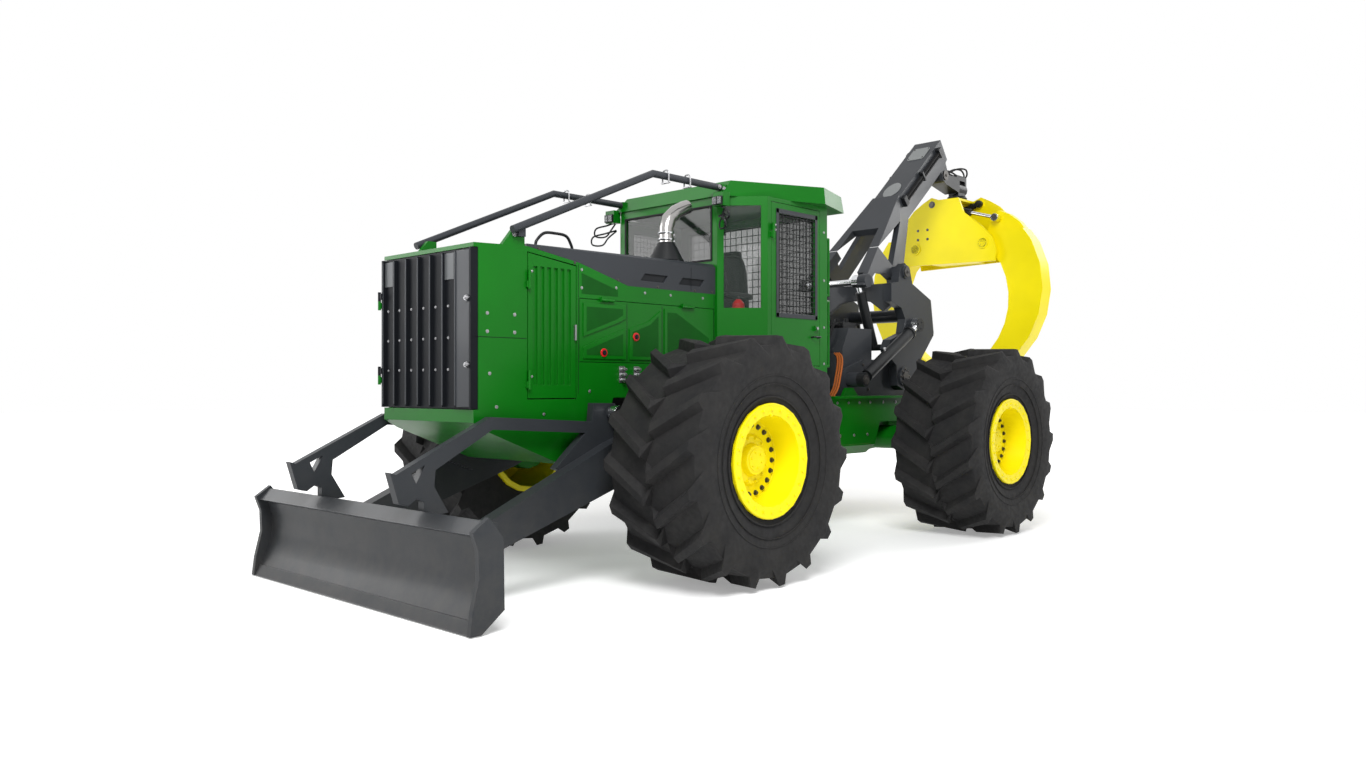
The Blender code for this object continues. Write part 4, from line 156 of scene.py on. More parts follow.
def paint(name, colour, roughness, coat, dust, specular=0.18):
    """Machine enamel: faint colour drift, dust low down, fine orange peel and a clear coat."""
    material, tree, shader, place = node_chain(name)
    drift = spread(tree, noise(tree, place, 1.3, 3.0), 0.0, 1.0)
    base = mixed(tree, drift, shade(colour, 0.90), shade(colour, 1.08))
    height = node(tree, "SeparateXYZ", {"Vector": place}).outputs["Z"]
    low = spread(tree, height, 0.0, dust, DUST_TOP_Z, 0.0)
    clouds = spread(tree, noise(tree, place, 7.0, 6.0, 0.65), 0.0, 1.6)
    patches = node(tree, "Math", {0: low, 1: clouds}, operation="MULTIPLY", use_clamp=True)
    feed(tree, shader, {
        "Base Color": mixed(tree, patches.outputs["Value"], base, DUST),
        "Roughness": spread(tree, noise(tree, place, 3.0, 2.0), roughness - 0.02, roughness + 0.03),
        "Coat Weight": coat, "Coat Roughness": 0.12, "Specular IOR Level": specular,
        "Normal": rounded_normal(tree, 0.004, noise(tree, place, 160.0, 1.0), 0.03, 0.0006),
    })
    return material


def rubber(name, colour, grain, strength, dust):
    """Tyre or hose rubber: matt, finely pitted, with dust held in its pores."""
    material, tree, shader, place = node_chain(name)
    patches = spread(tree, noise(tree, place, 5.0, 7.0, 0.6), 0.0, dust)
    pores = noise(tree, place, grain, 6.0, 0.7)
    feed(tree, shader, {
        "Base Color": mixed(tree, patches, colour, (0.075, 0.070, 0.062)),
        "Roughness": spread(tree, noise(tree, place, 24.0, 4.0), 0.66, 0.86),
        "Normal": rounded_normal(tree, 0.008, pores, strength, 0.002), "Specular IOR Level": 0.20,
    })
    return material


def metal(name, colour, roughness):
    """Bare or plated steel with a fine drawn grain."""
    material, tree, shader, place = node_chain(name)
    drawn = node(tree, "Mapping", {"Vector": place, "Scale": (1.0, 12.0, 12.0)}).outputs["Vector"]
    grain = noise(tree, drawn, 60.0, 3.0)
    feed(tree, shader, {
        "Base Color": mixed(tree, grain, shade(colour, 0.88), shade(colour, 1.06)),
        "Roughness": spread(tree, grain, roughness - 0.05, roughness + 0.10), "Metallic": 1.0,
        "Normal": rounded_normal(tree, 0.002, grain, 0.03, 0.0004),
    })
    return material


def vinyl(name, colour, scale):
    """Grained seat cover: small pebbles over a soft sheen."""
    material, tree, shader, place = node_chain(name)
    cells = node(tree, "TexVoronoi", {"Vector": place, "Scale": scale}).outputs["Distance"]
    tone = spread(tree, noise(tree, place, 9.0), 0.0, 1.0)
    feed(tree, shader, {
        "Base Color": mixed(tree, tone, shade(colour, 0.8), shade(colour, 1.4)),
        "Roughness": 0.58, "Sheen Weight": 0.15, "Normal": rounded_normal(tree, 0.003, cells, 0.3, 0.001),
    })
    return material


def perforated(name, sheet, hole_shade):
    """Sheet steel with rows of small round holes, drawn as dimples whose near-black colour is painted shade
    of the dark room behind them.
    """
    material, tree, shader, place = node_chain(name)
    cells = node(tree, "TexVoronoi", {"Vector": place, "Scale": 1.0 / HOLE_PITCH, "Randomness": 0.0})
    rim = spread(tree, cells.outputs["Distance"], 0.0, 1.0, 0.30, 0.38)
    drift = spread(tree, noise(tree, place, 4.0), 0.0, 1.0)
    tone = mixed(tree, drift, shade(sheet, 0.85), shade(sheet, 1.15))
    feed(tree, shader, {
        # hole_shade fills the dimples: painted shade, not a colour of the sheet
        "Base Color": mixed(tree, rim, hole_shade, tone), "Roughness": 0.5, "Specular IOR Level": 0.12,
        "Normal": rounded_normal(tree, 0.002, rim, 0.5, 0.001),
    })
    return material


def glass(name, tint, alpha=0.14):
    """Thin tinted glazing with faint smears."""
    material, tree, shader, place = node_chain(name)
    smears = spread(tree, noise(tree, place, 6.0), 0.03, 0.10)
    feed(tree, shader, {"Base Color": tint, "Alpha": alpha, "Roughness": smears, "Coat Weight": 0.25})
    return material


GREEN = paint("green enamel", (0.002, 0.118, 0.004), 0.30, 0.05, 0.06)
GREY = paint("grey enamel", (0.028, 0.031, 0.036), 0.42, 0.10, 0.08)
BLADE_GREY = paint("blade enamel", (0.024, 0.027, 0.031), 0.40, 0.06, 0.08)
YELLOW = paint("yellow enamel", (0.88, 0.74, 0.002), 0.34, 0.02, 0.03)
BLACK = paint("black enamel", (0.008, 0.009, 0.010), 0.42, 0.10, 0.08)
GRILLE_DARK = paint("grille black", (0.007, 0.008, 0.010), 0.46, 0.0, 0.06, 0.08)
# Lighter grey for the grille ribs' edges: a painted highlight of the light that those edges catch
GRILLE_EDGE_HIGHLIGHT = paint("grille edge painted highlight", (0.055, 0.060, 0.066), 0.40, 0.1, 0.05)
PAD_GREY = paint("pad grey", (0.22, 0.23, 0.23), 0.50, 0.1, 0.05)
PLATE_GREY = paint("plate grey", (0.090, 0.095, 0.100), 0.45, 0.1, 0.05)
RED = paint("red enamel", (0.55, 0.012, 0.015), 0.32, 0.4, 0.02)
KEEL = paint("keel primer", (0.23, 0.17, 0.12), 0.6, 0.0, 0.2)
TYRE = rubber("tyre rubber", (0.012, 0.012, 0.013), 90.0, 0.30, 0.16)
HOSE = rubber("hose rubber", (0.012, 0.012, 0.013), 260.0, 0.15, 0.06)
HOSE_ORANGE = rubber("orange hose", (0.42, 0.11, 0.02), 260.0, 0.10, 0.05)
CHROME = metal("chromed steel", (0.72, 0.73, 0.75), 0.14)
ZINC = metal("zinc plated steel", (0.36, 0.36, 0.37), 0.38)
DARK_STEEL = metal("dark steel", (0.09, 0.085, 0.08), 0.46)
STACK = metal("exhaust steel", (0.42, 0.41, 0.40), 0.20)
VINYL = vinyl("seat vinyl", (0.016, 0.016, 0.017), 260.0)
PLASTIC = vinyl("moulded plastic", (0.020, 0.021, 0.023), 420.0)
# The second colour of each perforated sheet is painted shade in its holes
SCREEN_GREEN = perforated("perforated green sheet", (0.002, 0.070, 0.004), (0.001, 0.008, 0.001))
VENT_MESH = perforated("vent mesh", (0.014, 0.015, 0.017), (0.002, 0.002, 0.002))
GLASS = glass("clear glass", (0.05, 0.07, 0.06))
DARK_GLASS = glass("tinted glass", (0.010, 0.014, 0.012), 0.42)
LENS = glass("lamp lens", (0.80, 0.82, 0.85))
SCREEN = paint("screen glass", (0.004, 0.006, 0.010), 0.12, 0.8, 0.0)


# Meshes

def link_new(name, data):
    """A new object in the scene, round a mesh, a lamp or a camera."""
    made = bpy.data.objects.new(name, data)
    bpy.context.scene.collection.objects.link(made)
    return made


# Trims that a build function has made and that aren't stored yet
TRIMS = []


class Trim:
    """Small shapes of one finish on one body, gathered into one mesh, on one side or on both."""

    def __init__(self, name, material, body="main_frame", bevel=0.0, sides=(1, -1)):
        self.name, self.material, self.body, self.bevel = name, material, body, bevel
        self.sides = sides
        self.mesh = bmesh.new()
        TRIMS.append(self)

    def hull(self, points):
        """The closed convex solid round some points."""
        made = [self.mesh.verts.new(point) for point in points]
        result = bmesh.ops.convex_hull(self.mesh, input=made)
        loose = [item for item in result["geom_interior"] if isinstance(item, bmesh.types.BMVert)]
        bmesh.ops.delete(self.mesh, geom=loose, context="VERTS")

    def box(self, low, high):
        """A box between two corners."""
        spans = list(zip(low, high))
        self.hull([(x, y, z) for x in spans[0] for y in spans[1] for z in spans[2]])

    def side_box(self, span_x, span_y, span_z):
        """A box on each of the trim's sides, from its spans on the left."""
        low, high = zip(span_x, span_y, span_z)
        for side in self.sides:
            self.box(at(side * low[0], *low[1:]), at(side * high[0], *high[1:]))

    def side_rod(self, span_x, y, z, radius, sides=24):
        """A round bar or disc across each of the trim's sides."""
        for side in self.sides:
            self.rod(at(side * span_x[0], y, z), at(side * span_x[1], y, z), radius, sides)

    def side_bolts(self, x, places, radius, height):
        """Bolts at (y, z) places on the upright face of each of the trim's sides."""
        for side in self.sides:
            for y, z in places:
                self.bolt(at(side * x, y, z), (side, 0, 0), radius, height)

    def plate(self, outline, near_x, far_x):
        """A flat plate between two places along X, from its (y, z) corners, which may turn inwards."""
        near = [self.mesh.verts.new(at(near_x, y, z)) for y, z in outline]
        far = [self.mesh.verts.new(at(far_x, y, z)) for y, z in outline]
        self.mesh.faces.new(near)
        self.mesh.faces.new(far)
        for index in range(len(outline)):
            following = (index + 1) % len(outline)
            self.mesh.faces.new((near[index], near[following], far[following], far[index]))

    def rod(self, start, end, radius, sides=12, end_radius=None):
        """A round bar or a cone."""
        start, end = Vector(start), Vector(end)
        direction = end - start
        made = bmesh.ops.create_cone(
            self.mesh, cap_ends=True, segments=sides, radius1=radius,
            radius2=radius if end_radius is None else end_radius, depth=direction.length,
        )
        turn = direction.to_track_quat("Z", "Y").to_matrix().to_4x4()
        place = Matrix.Translation((start + end) / 2) @ turn
        bmesh.ops.transform(self.mesh, matrix=place, verts=made["verts"])

    def bolt(self, place, axis, radius, height):
        """A hexagon head over a thin washer, standing on a face."""
        place, axis = Vector(place), Vector(axis).normalized()
        self.rod(place - axis * GAP, place + axis * height * 0.25, radius * 1.5, 16)
        self.rod(place, place + axis * height, radius, 6)

    def bolt_circle(self, centre, axis, circle, count, radius, height, start=0.0):
        """Bolts spread evenly round a circle."""
        axis = Vector(axis).normalized()
        first = axis.orthogonal().normalized() * circle
        for index in range(count):
            turn = Matrix.Rotation(start + 2 * math.pi * index / count, 3, axis)
            self.bolt(Vector(centre) + turn @ first, axis, radius, height)

    def ring(self, centre, axis, circle, radius, steps=32, sides=8):
        """A round bar bent into a closed ring."""
        axis = Vector(axis).normalized()
        spoke = axis.orthogonal().normalized()
        points = []
        for index in range(steps):
            turn = Matrix.Rotation(2 * math.pi * index / steps, 3, axis)
            points.append(Vector(centre) + turn @ spoke * circle)
        self.tube(points, radius, sides, closed=True)

    def tube(self, points, radius, sides=8, closed=False):
        """A round bar along a polyline."""
        points = [Vector(point) for point in points]
        count = len(points)
        across = None
        rings = []
        for index, point in enumerate(points):
            before = points[index - 1] if index or closed else point
            after = points[(index + 1) % count] if index + 1 < count or closed else point
            forward = (after - before).normalized()
            across = forward.orthogonal().normalized() if across is None else across
            across = (across - forward * across.dot(forward)).normalized()
            up = forward.cross(across)
            ring = []
            for step in range(sides):
                angle = 2 * math.pi * step / sides
                spoke = across * radius * math.cos(angle) + up * radius * math.sin(angle)
                ring.append(self.mesh.verts.new(point + spoke))
            rings.append(ring)
        pairs = list(zip(rings, rings[1:]))
        if closed:
            pairs.append((rings[-1], rings[0]))
        for near, far in pairs:
            for step in range(sides):
                following = (step + 1) % sides
                self.mesh.faces.new((near[step], near[following], far[following], far[step]))
        if not closed:
            self.mesh.faces.new(rings[0])
            self.mesh.faces.new(rings[-1])

    def hose(self, points, radius, steps=8, sides=10):
        """A round hose through guide points on a smooth curve."""
        self.tube(smooth_path(points, steps), radius, sides)

    def finish(self):
        """Store the mesh as one piece that rides on its body."""
        bmesh.ops.recalc_face_normals(self.mesh, faces=self.mesh.faces)
        mesh = bpy.data.meshes.new(self.name)
        self.mesh.to_mesh(mesh)
        self.mesh.free()
        mesh.shade_smooth()
        mesh.set_sharp_from_angle(angle=SMOOTH_ANGLE)
        mesh.materials.append(self.material)
        piece = link_new(self.name, mesh)
        if self.bevel:
            edges = piece.modifiers.new("edges", "BEVEL")
            edges.width = self.bevel
            edges.segments = 2
            edges.limit_method = "ANGLE"
            edges.angle_limit = SMOOTH_ANGLE
        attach(piece, self.body)


def smooth_path(points, count):
    """Points along a Catmull-Rom curve."""
    points = [Vector(point) for point in points]
    guides = [2 * points[0] - points[1]] + points + [2 * points[-1] - points[-2]]
    path = []
    for a, b, c, d in zip(guides, guides[1:], guides[2:], guides[3:]):
        for index in range(count):
            t = index / count
            path.append(0.5 * (2 * b + (c - a) * t + (2 * a - 5 * b + 4 * c - d) * t ** 2
                               + (3 * b - a - 3 * c + d) * t ** 3))
    return path + [points[-1]]


# Finishes of the CAD nodes, by the start of their names
NODE_FINISHES = (
    ("tyre", TYRE), ("rim", YELLOW), ("grapple_body", YELLOW), ("tong", YELLOW), ("blade", BLADE_GREY),
    ("grille", GRILLE_DARK), ("hood_top", GREY), ("arch", GREY), ("boom", GREY), ("brush", GREY),
    ("operator", VINYL), ("control", PLASTIC), ("exhaust", STACK), ("crosshead", BLACK), ("rotator", BLACK),
    ("engine_block", BLACK),
)


def dress_nodes():
    """Give every node its finish and smooth its round faces."""
    for name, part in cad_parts.items():
        mesh = part.data
        mesh.materials.clear()
        mesh.materials.append(finish_of(name))
        mesh.shade_smooth()
        weld = part.modifiers.new("weld", "WELD")
        weld.merge_threshold = 0.00001
        split = part.modifiers.new("corners", "EDGE_SPLIT")
        split.split_angle = NODE_SMOOTH_ANGLE


def finish_of(name):
    """The finish of one CAD node."""
    if name.endswith(("_rod", "_rods")):
        return CHROME
    if name.endswith(("_barrel", "_barrels")):
        return BLACK
    for start, material in NODE_FINISHES:
        if name.startswith(start):
            return material
    return GREEN


# Wheels

# Inset from the rim's outer face, circle, and a bolt's count, radius and height
RIM_STUDS = ((0.006, 0.385, 24, 0.009, 0.010), (0.200, 0.165, 12, 0.011, 0.014),
             (0.150, 0.060, 6, 0.007, 0.008))
WHEEL_NUTS = (0.220, 0.262, 20, 0.014, 0.020)
WHEEL_NUTS_TURN = 0.1
# Inset, circle and thickness of round beads
RIM_LIPS = ((0.010, 0.421, 0.012), (0.016, 0.404, 0.008), (0.216, 0.300, 0.006))
TYRE_RINGS = ((0.016, 0.640, 0.006), (0.024, 0.575, 0.005), (0.052, 0.480, 0.008))
HUB_PLUG_INSETS, HUB_PLUG_RADIUS = (0.156, 0.150), 0.085
# Inset and height over the hub of the valve stem's two ends
VALVE_STEM, VALVE_RADIUS = ((0.012, 0.335), (0.004, 0.352)), 0.012


def build_wheels():
    """Studs, nuts and hub plugs on the rims, and the moulded rings of the tyres' walls."""
    for end in ("front", "rear"):
        for name, side in SIDES:
            body = f"wheel_{end}_{name}"
            out = Vector((side, 0, 0))
            low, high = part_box(f"rim_{end}_{name}")
            hub = Vector((high[0] if side > 0 else low[0], (low[1] + high[1]) / 2, (low[2] + high[2]) / 2))

            studs = Trim(f"rim_studs_{end}_{name}", YELLOW, body)
            for inset, circle, *rest in RIM_STUDS:
                studs.bolt_circle(hub - out * inset, out, circle, *rest)
            studs.rod(hub - out * HUB_PLUG_INSETS[0], hub - out * HUB_PLUG_INSETS[1], HUB_PLUG_RADIUS, 24)
            stem = [hub - out * inset + Vector((0, 0, rise)) for inset, rise in VALVE_STEM]
            studs.rod(*stem, VALVE_RADIUS, 10)

            lips = Trim(f"rim_lips_{end}_{name}", YELLOW, body)
            for inset, circle, thickness in RIM_LIPS:
                lips.ring(hub - out * inset, out, circle, thickness, 96, 8)

            nuts = Trim(f"wheel_nuts_{end}_{name}", DARK_STEEL, body)
            inset, circle, *rest = WHEEL_NUTS
            nuts.bolt_circle(hub - out * inset, out, circle, *rest, WHEEL_NUTS_TURN)

            tyre_low, tyre_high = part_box(f"tyre_{end}_{name}")
            wall = Vector((tyre_high[0] if side > 0 else tyre_low[0], hub.y, hub.z))
            rings = Trim(f"tyre_rings_{end}_{name}", TYRE, body)
            for inset, circle, thickness in TYRE_RINGS:
                rings.ring(wall - out * inset, out, circle, thickness, 72, 6)


# Hood

HOOD_X = 0.600
SEAM_X = (0.5985, 0.6012)
DOOR_SHEET_X = (0.6095, 0.6112)
VENT_X = (0.5855, 0.588)
# (y, z) places of fasteners on the hood's sides
SIDE_BOLTS = ((-1.66, 2.03), (-1.66, 1.90), (-1.42, 2.03), (-1.42, 1.90), (-1.64, 1.60), (-1.58, 1.36),
              (-1.15, 1.30), (-0.70, 1.47), (-0.25, 1.47), (0.25, 1.47), (0.70, 1.47))
EDGE_BOLTS = ((-0.78, 2.41), (-0.78, 2.27), (-0.42, 2.295), (-0.10, 2.275), (0.20, 2.275), (0.60, 2.275))
GUARD_FOOT_BOLTS = ((-1.42, 2.62), (-1.36, 2.65))
HOOD_TOP_BOLTS = ((-1.20, 2.5352), (-0.85, 2.4582), (-0.40, 2.3592), (0.05, 2.335), (0.50, 2.335),
                  (0.72, 2.335))
HOOD_SEAMS = (((-0.817, -0.813), (1.45, 2.45)), ((0.743, 0.747), (1.44, 2.31)),
              ((-1.775, -1.31), (1.858, 1.862)), ((0.45, 0.454), (2.33, 2.53)))
DOOR_SEAMS_Y, DOOR_SEAM_Z = (-0.302, 0.099), (1.705, 2.182)
DOOR_LATCHES = ((-0.563, 1.774), (-0.213, 1.910))
HANDLE_X, HANDLE_FOOT_Z = 0.35, (2.575, 2.60)
HANDLE_PATH = ((-1.035, 2.60), (-1.02, 2.64), (-0.95, 2.70), (-0.85, 2.71), (-0.73, 2.70), (-0.68, 2.64),
               (-0.664, 2.60))
TEST_PORT_Y = (-0.36, -0.20)
TEST_PORTS = ((1.600, 0.018), (1.645, 0.014), (1.560, 0.014))


def build_hood():
    """Bolts, seams, perforated sheets, handle, latches and test ports of the hood and its doors."""
    bolts = Trim("hood_bolts", ZINC)
    bolts.side_bolts(HOOD_X, SIDE_BOLTS, 0.009, 0.006)
    bolts.side_bolts(HOOD_X, EDGE_BOLTS, 0.008, 0.006)
    bolts.side_bolts(0.6003, GUARD_FOOT_BOLTS, 0.016, 0.014)
    top_bolts = Trim("hood_top_bolts", DARK_STEEL)
    top_bolts.side_bolts(HOOD_X, HOOD_TOP_BOLTS, 0.008, 0.006)

    seams = Trim("hood_seams", GRILLE_DARK)
    for span_y, span_z in HOOD_SEAMS:
        seams.side_box(SEAM_X, span_y, span_z)

    length = DOOR_SPAN_Y[1] - DOOR_SPAN_Y[0]
    height = DOOR_SPAN_Z[1] - DOOR_SPAN_Z[0]
    for name, side in SIDES:
        sheets = Trim("door_perforated_sheets_" + name, SCREEN_GREEN, "engine_door_" + name)
        for shares in DOOR_PANELS:
            outline = [(DOOR_SPAN_Y[0] + a * length, DOOR_SPAN_Z[0] + b * height) for a, b in shares]
            sheets.plate(outline, side * DOOR_SHEET_X[0], side * DOOR_SHEET_X[1])
        strip = Trim("hood_perforated_sheet_" + name, SCREEN_GREEN)
        strip.plate(HOOD_PANEL, side * 0.5995, side * SEAM_X[1])

    vents = Trim("hood_vent_meshes", VENT_MESH)
    low_z, high_z = VENT_Z[0] + 0.003, VENT_Z[1] - 0.003
    for _, side in SIDES:
        for y0, y1 in VENT_SPANS:
            outline = [(y0 + 0.004, low_z), (y1 - 0.052, low_z), (y1 - 0.004, high_z), (y0 + 0.052, high_z)]
            vents.plate(outline, side * VENT_X[0], side * VENT_X[1])

    handle = Trim("hood_handle", BLACK)
    handle.hose([at(HANDLE_X, y, z) for y, z in HANDLE_PATH], 0.012)
    for y, _ in (HANDLE_PATH[0], HANDLE_PATH[-1]):
        handle.rod(at(HANDLE_X, y, HANDLE_FOOT_Z[0]), at(HANDLE_X, y, HANDLE_FOOT_Z[1]), 0.024)

    for name, side in SIDES:
        out = Vector((side, 0, 0))
        spots = [at(side * DOOR_SHEET_X[1], y, z) for y, z in DOOR_LATCHES]
        latch = Trim("door_latch_rings_" + name, RED, "engine_door_" + name, 0.002)
        for spot in spots:
            latch.rod(spot - out * GAP, spot + out * 0.008, 0.034, 24)
        core = Trim("door_latch_cores_" + name, BLACK, "engine_door_" + name, sides=(side,))
        half = Vector((0, 0.006, 0.016))
        for spot in spots:
            core.rod(spot, spot + out * 0.014, 0.020, 20)
            core.box(spot + out * 0.010 - half, spot + out * 0.020 + half)
        for y in DOOR_SEAMS_Y:
            core.side_box((0.599, 0.6008), (y - 0.0025, y + 0.0025), DOOR_SEAM_Z)
        fittings = Trim("hood_test_ports_" + name, ZINC, sides=(side,))
        for y in TEST_PORT_Y:
            for z, radius in TEST_PORTS:
                fittings.side_rod((HOOD_X, HOOD_X + 0.045), y, z, radius, 12)
                fittings.side_rod((HOOD_X + 0.045, HOOD_X + 0.058), y, z, radius * 0.7, 6)
            fittings.side_box((HOOD_X - GAP, HOOD_X + side * 0.006), (y - 0.03, y + 0.03), (1.54, 1.67))
        trim = Trim("louvre_door_trim_" + name, ZINC, "louvre_door_" + name, 0.002, sides=(side,))
        trim.side_bolts(HOOD_X, ((-1.262, 1.58), (-1.262, 2.36)), 0.007, 0.005)
        trim.side_box((HOOD_X, HOOD_X + 0.020), (-0.862, -0.846), (1.86, 1.98))


GRILLE_Y = -1.801
GRILLE_BACK_Y = -1.7755
RIB_X = (-0.5885, -0.427, -0.259, -0.094, 0.070, 0.234, 0.398, 0.5885)
GRILLE_SCREW_Z = (1.63, 1.86, 2.09)
GRILLE_PLATES_X = ((-0.577, -0.438), (0.246, 0.388))
GRILLE_LATCH_X, GRILLE_LATCH_Z = 0.560, (1.66, 2.13)
LATCH_LEVER = ((0.541, 0.0), (0.560, 0.025), (0.590, 0.005), (0.560, -0.025))
RADIATOR_X, RADIATOR_CORE_X = 0.5695, 0.535
RADIATOR_Y = (-1.705, -1.645)
RADIATOR_FINS, FIN_PITCH, FIN_WIDTH = 40, 0.0267, 0.006


def build_grille():
    """Painted highlights down the grille door's rib edges, its screws, plates and latches, and the radiator
    behind it.
    """
    # Painted highlight: lighter grey strips down one edge of each black rib
    edges = Trim("grille_rib_edge_highlights", GRILLE_EDGE_HIGHLIGHT, "grille_door")
    for x in RIB_X[:-1]:
        edges.box(at(x + 0.006, GRILLE_Y - 0.003, 1.372), at(x + 0.011, GRILLE_Y + 0.004, 2.470))
    screws = Trim("grille_screws", ZINC, "grille_door")
    for x in RIB_X[:-1]:
        for z in GRILLE_SCREW_Z:
            screws.bolt(at(x + 0.052, GRILLE_Y + 0.024, z), FORWARD, 0.007, 0.006)
    cover = Trim("grille_side_cover", GREY, "grille_door", 0.003)
    cover.box(at(0.408, -1.797, 1.36), at(0.578, GRILLE_BACK_Y, 2.476))
    plates = Trim("grille_plates", PLATE_GREY, "grille_door", 0.001)
    for x0, x1 in GRILLE_PLATES_X:
        plates.box(at(x0, -1.783, 2.28), at(x1, GRILLE_BACK_Y, 2.47))
    latches = Trim("grille_latches", ZINC, "grille_door", 0.002)
    for z in GRILLE_LATCH_Z:
        foot, collar, tip = (at(GRILLE_LATCH_X, GRILLE_Y - reach, z) for reach in (0.001, 0.022, 0.030))
        latches.rod(foot, collar, 0.018, 20)
        latches.rod(collar, tip, 0.010, 6)
        latches.hull([at(x, GRILLE_Y + dy, z + dz) for x, dz in LATCH_LEVER for dy in (0.006, -0.012)])
    radiator = Trim("radiator_frame", BLACK, bevel=0.003)
    for z0, z1 in ((1.300, 1.360), (2.420, 2.480)):
        radiator.box(at(-RADIATOR_X, RADIATOR_Y[0], z0), at(RADIATOR_X, RADIATOR_Y[1], z1))
    radiator.side_box((0.530, RADIATOR_X), RADIATOR_Y, (1.355, 2.425))
    core = Trim("radiator_core", VENT_MESH)
    core.box(at(-RADIATOR_CORE_X, -1.690, 1.355), at(RADIATOR_CORE_X, -1.650, 2.425))
    for x in spaced(-0.524, FIN_PITCH, RADIATOR_FINS):
        core.box(at(x, -1.698, 1.358), at(x + FIN_WIDTH, -1.689, 2.422))


# Cab

CAB_X = 0.950
SCREEN_X, SCREEN_WIRE = 0.944, 0.0035
CORNER, PILLAR = Vector((0.620, 0.765, 0)), Vector((CAB_X, 1.060, 0))
REAR_SCREEN_Y, REAR_WIRE = 1.952, 0.004
WINDOW_Z = (2.125, 3.092)
WINDOW_FRAME = (((1.180, 1.789), (2.125, 2.165)), ((1.180, 1.789), (3.052, 3.092)),
                ((1.180, 1.216), WINDOW_Z), ((1.753, 1.789), WINDOW_Z))
# Half width, y, and lowest and highest place of the windscreen's and the rear pane's seals
SEALS = ((0.55, 0.762, 2.63, 3.10), (0.80, 1.950, 2.20, 3.10))
SEAL_OUT, SEAL_IN = 0.012, 0.004
# Loops that guard the front lamps, from their first bend's height and place
LAMP_LOOPS = ((3.055, 0.70), (2.97, 0.66))
GUARD_CLAMP_PATH = ((0.605, 3.20), (0.605, 3.27), (0.615, 3.298), (0.640, 3.305), (0.665, 3.298),
                    (0.675, 3.27), (0.675, 3.20))
DOOR_HANDLE_PATH = ((0.948, 1.700, 1.960), (0.985, 1.702, 1.965), (0.990, 1.735, 1.965),
                    (0.990, 1.790, 1.965), (0.948, 1.795, 1.960))
PILLAR_BOLTS = ((1.895, 1.72), (1.895, 2.06), (1.895, 2.50), (1.895, 2.95))


def build_cab():
    """Glazing, screens, seals, door fittings, lamps, guard clamps and bolts of the cab."""
    panes = Trim("cab_glass", DARK_GLASS)
    panes.box(at(-0.548, 0.775, 2.632), at(0.548, 0.780, 3.098))
    panes.box(at(-0.798, 1.930, 2.202), at(0.798, 1.935, 3.098))
    panes = Trim("cab_corner_glass", GLASS)
    run = PILLAR - CORNER
    inward = Vector((-run.y, run.x, 0)).normalized()
    for _, side in SIDES:
        points = []
        for share in (0.135, 0.865):
            for depth in (0.015, 0.020):
                spot = CORNER + run * share + inward * depth
                points += [at(side * spot.x, spot.y, z) for z in (2.203, 3.097)]
        panes.hull(points)

    rear_screen = Trim("cab_rear_screen", BLACK)
    for x in spaced(-0.77, 0.0733, 22):
        rear_screen.rod(at(x, REAR_SCREEN_Y, 2.19), at(x, REAR_SCREEN_Y, 3.11), REAR_WIRE, 6)
    for z in spaced(2.21, 0.0735, 13):
        rear_screen.rod(at(-0.81, REAR_SCREEN_Y, z), at(0.81, REAR_SCREEN_Y, z), REAR_WIRE, 6)

    seals = Trim("cab_window_seals", HOSE)
    for half, y, z0, z1 in SEALS:
        for low, high in (((-half - SEAL_OUT, z0 - SEAL_OUT), (half + SEAL_OUT, z0 + SEAL_IN)),
                          ((-half - SEAL_OUT, z1 - SEAL_IN), (half + SEAL_OUT, z1 + SEAL_OUT)),
                          ((-half - SEAL_OUT, z0), (-half + SEAL_IN, z1)),
                          ((half - SEAL_IN, z0), (half + SEAL_OUT, z1))):
            seals.box(at(low[0], y - 0.004, low[1]), at(high[0], y + 0.006, high[1]))

    for name, side in SIDES:
        build_cab_door(name, side)
    build_cab_outside()


def build_cab_door(name, side):
    """Window frame, wire screen, pane, hinge bolts and handle of one cab door."""
    body = "cab_door_" + name
    window = Trim("door_window_frame_" + name, GREY, body, 0.002, sides=(side,))
    for span_y, span_z in WINDOW_FRAME:
        window.side_box((0.9490, 0.9560), span_y, span_z)
    screen = Trim("door_screen_" + name, BLACK, body)
    for y in spaced(1.235, 0.050, 11):
        screen.rod(at(side * SCREEN_X, y, 2.150), at(side * SCREEN_X, y, 3.075), SCREEN_WIRE, 6)
    for z in spaced(2.185, 0.050, 18):
        screen.rod(at(side * SCREEN_X, 1.200, z), at(side * SCREEN_X, 1.770, z), SCREEN_WIRE, 6)
    pane = Trim("door_glass_" + name, DARK_GLASS, body, sides=(side,))
    pane.side_box((0.918, 0.923), (1.212, 1.757), (2.160, 3.057))
    bolts = Trim("door_hinge_bolts_" + name, ZINC, body, sides=(side,))
    hinges = [(y, z + dz) for z in (1.90, 2.92) for y in (1.150, 1.175) for dz in (-0.022, 0.022)]
    bolts.side_bolts(CAB_X, hinges, 0.007, 0.006)
    bolts.side_rod((0.972, 0.985), 1.755, 2.045, 0.014, 12)
    handle = Trim("door_handle_" + name, BLACK, body)
    handle.hose([at(side * x, y, z) for x, y, z in DOOR_HANDLE_PATH], 0.008)


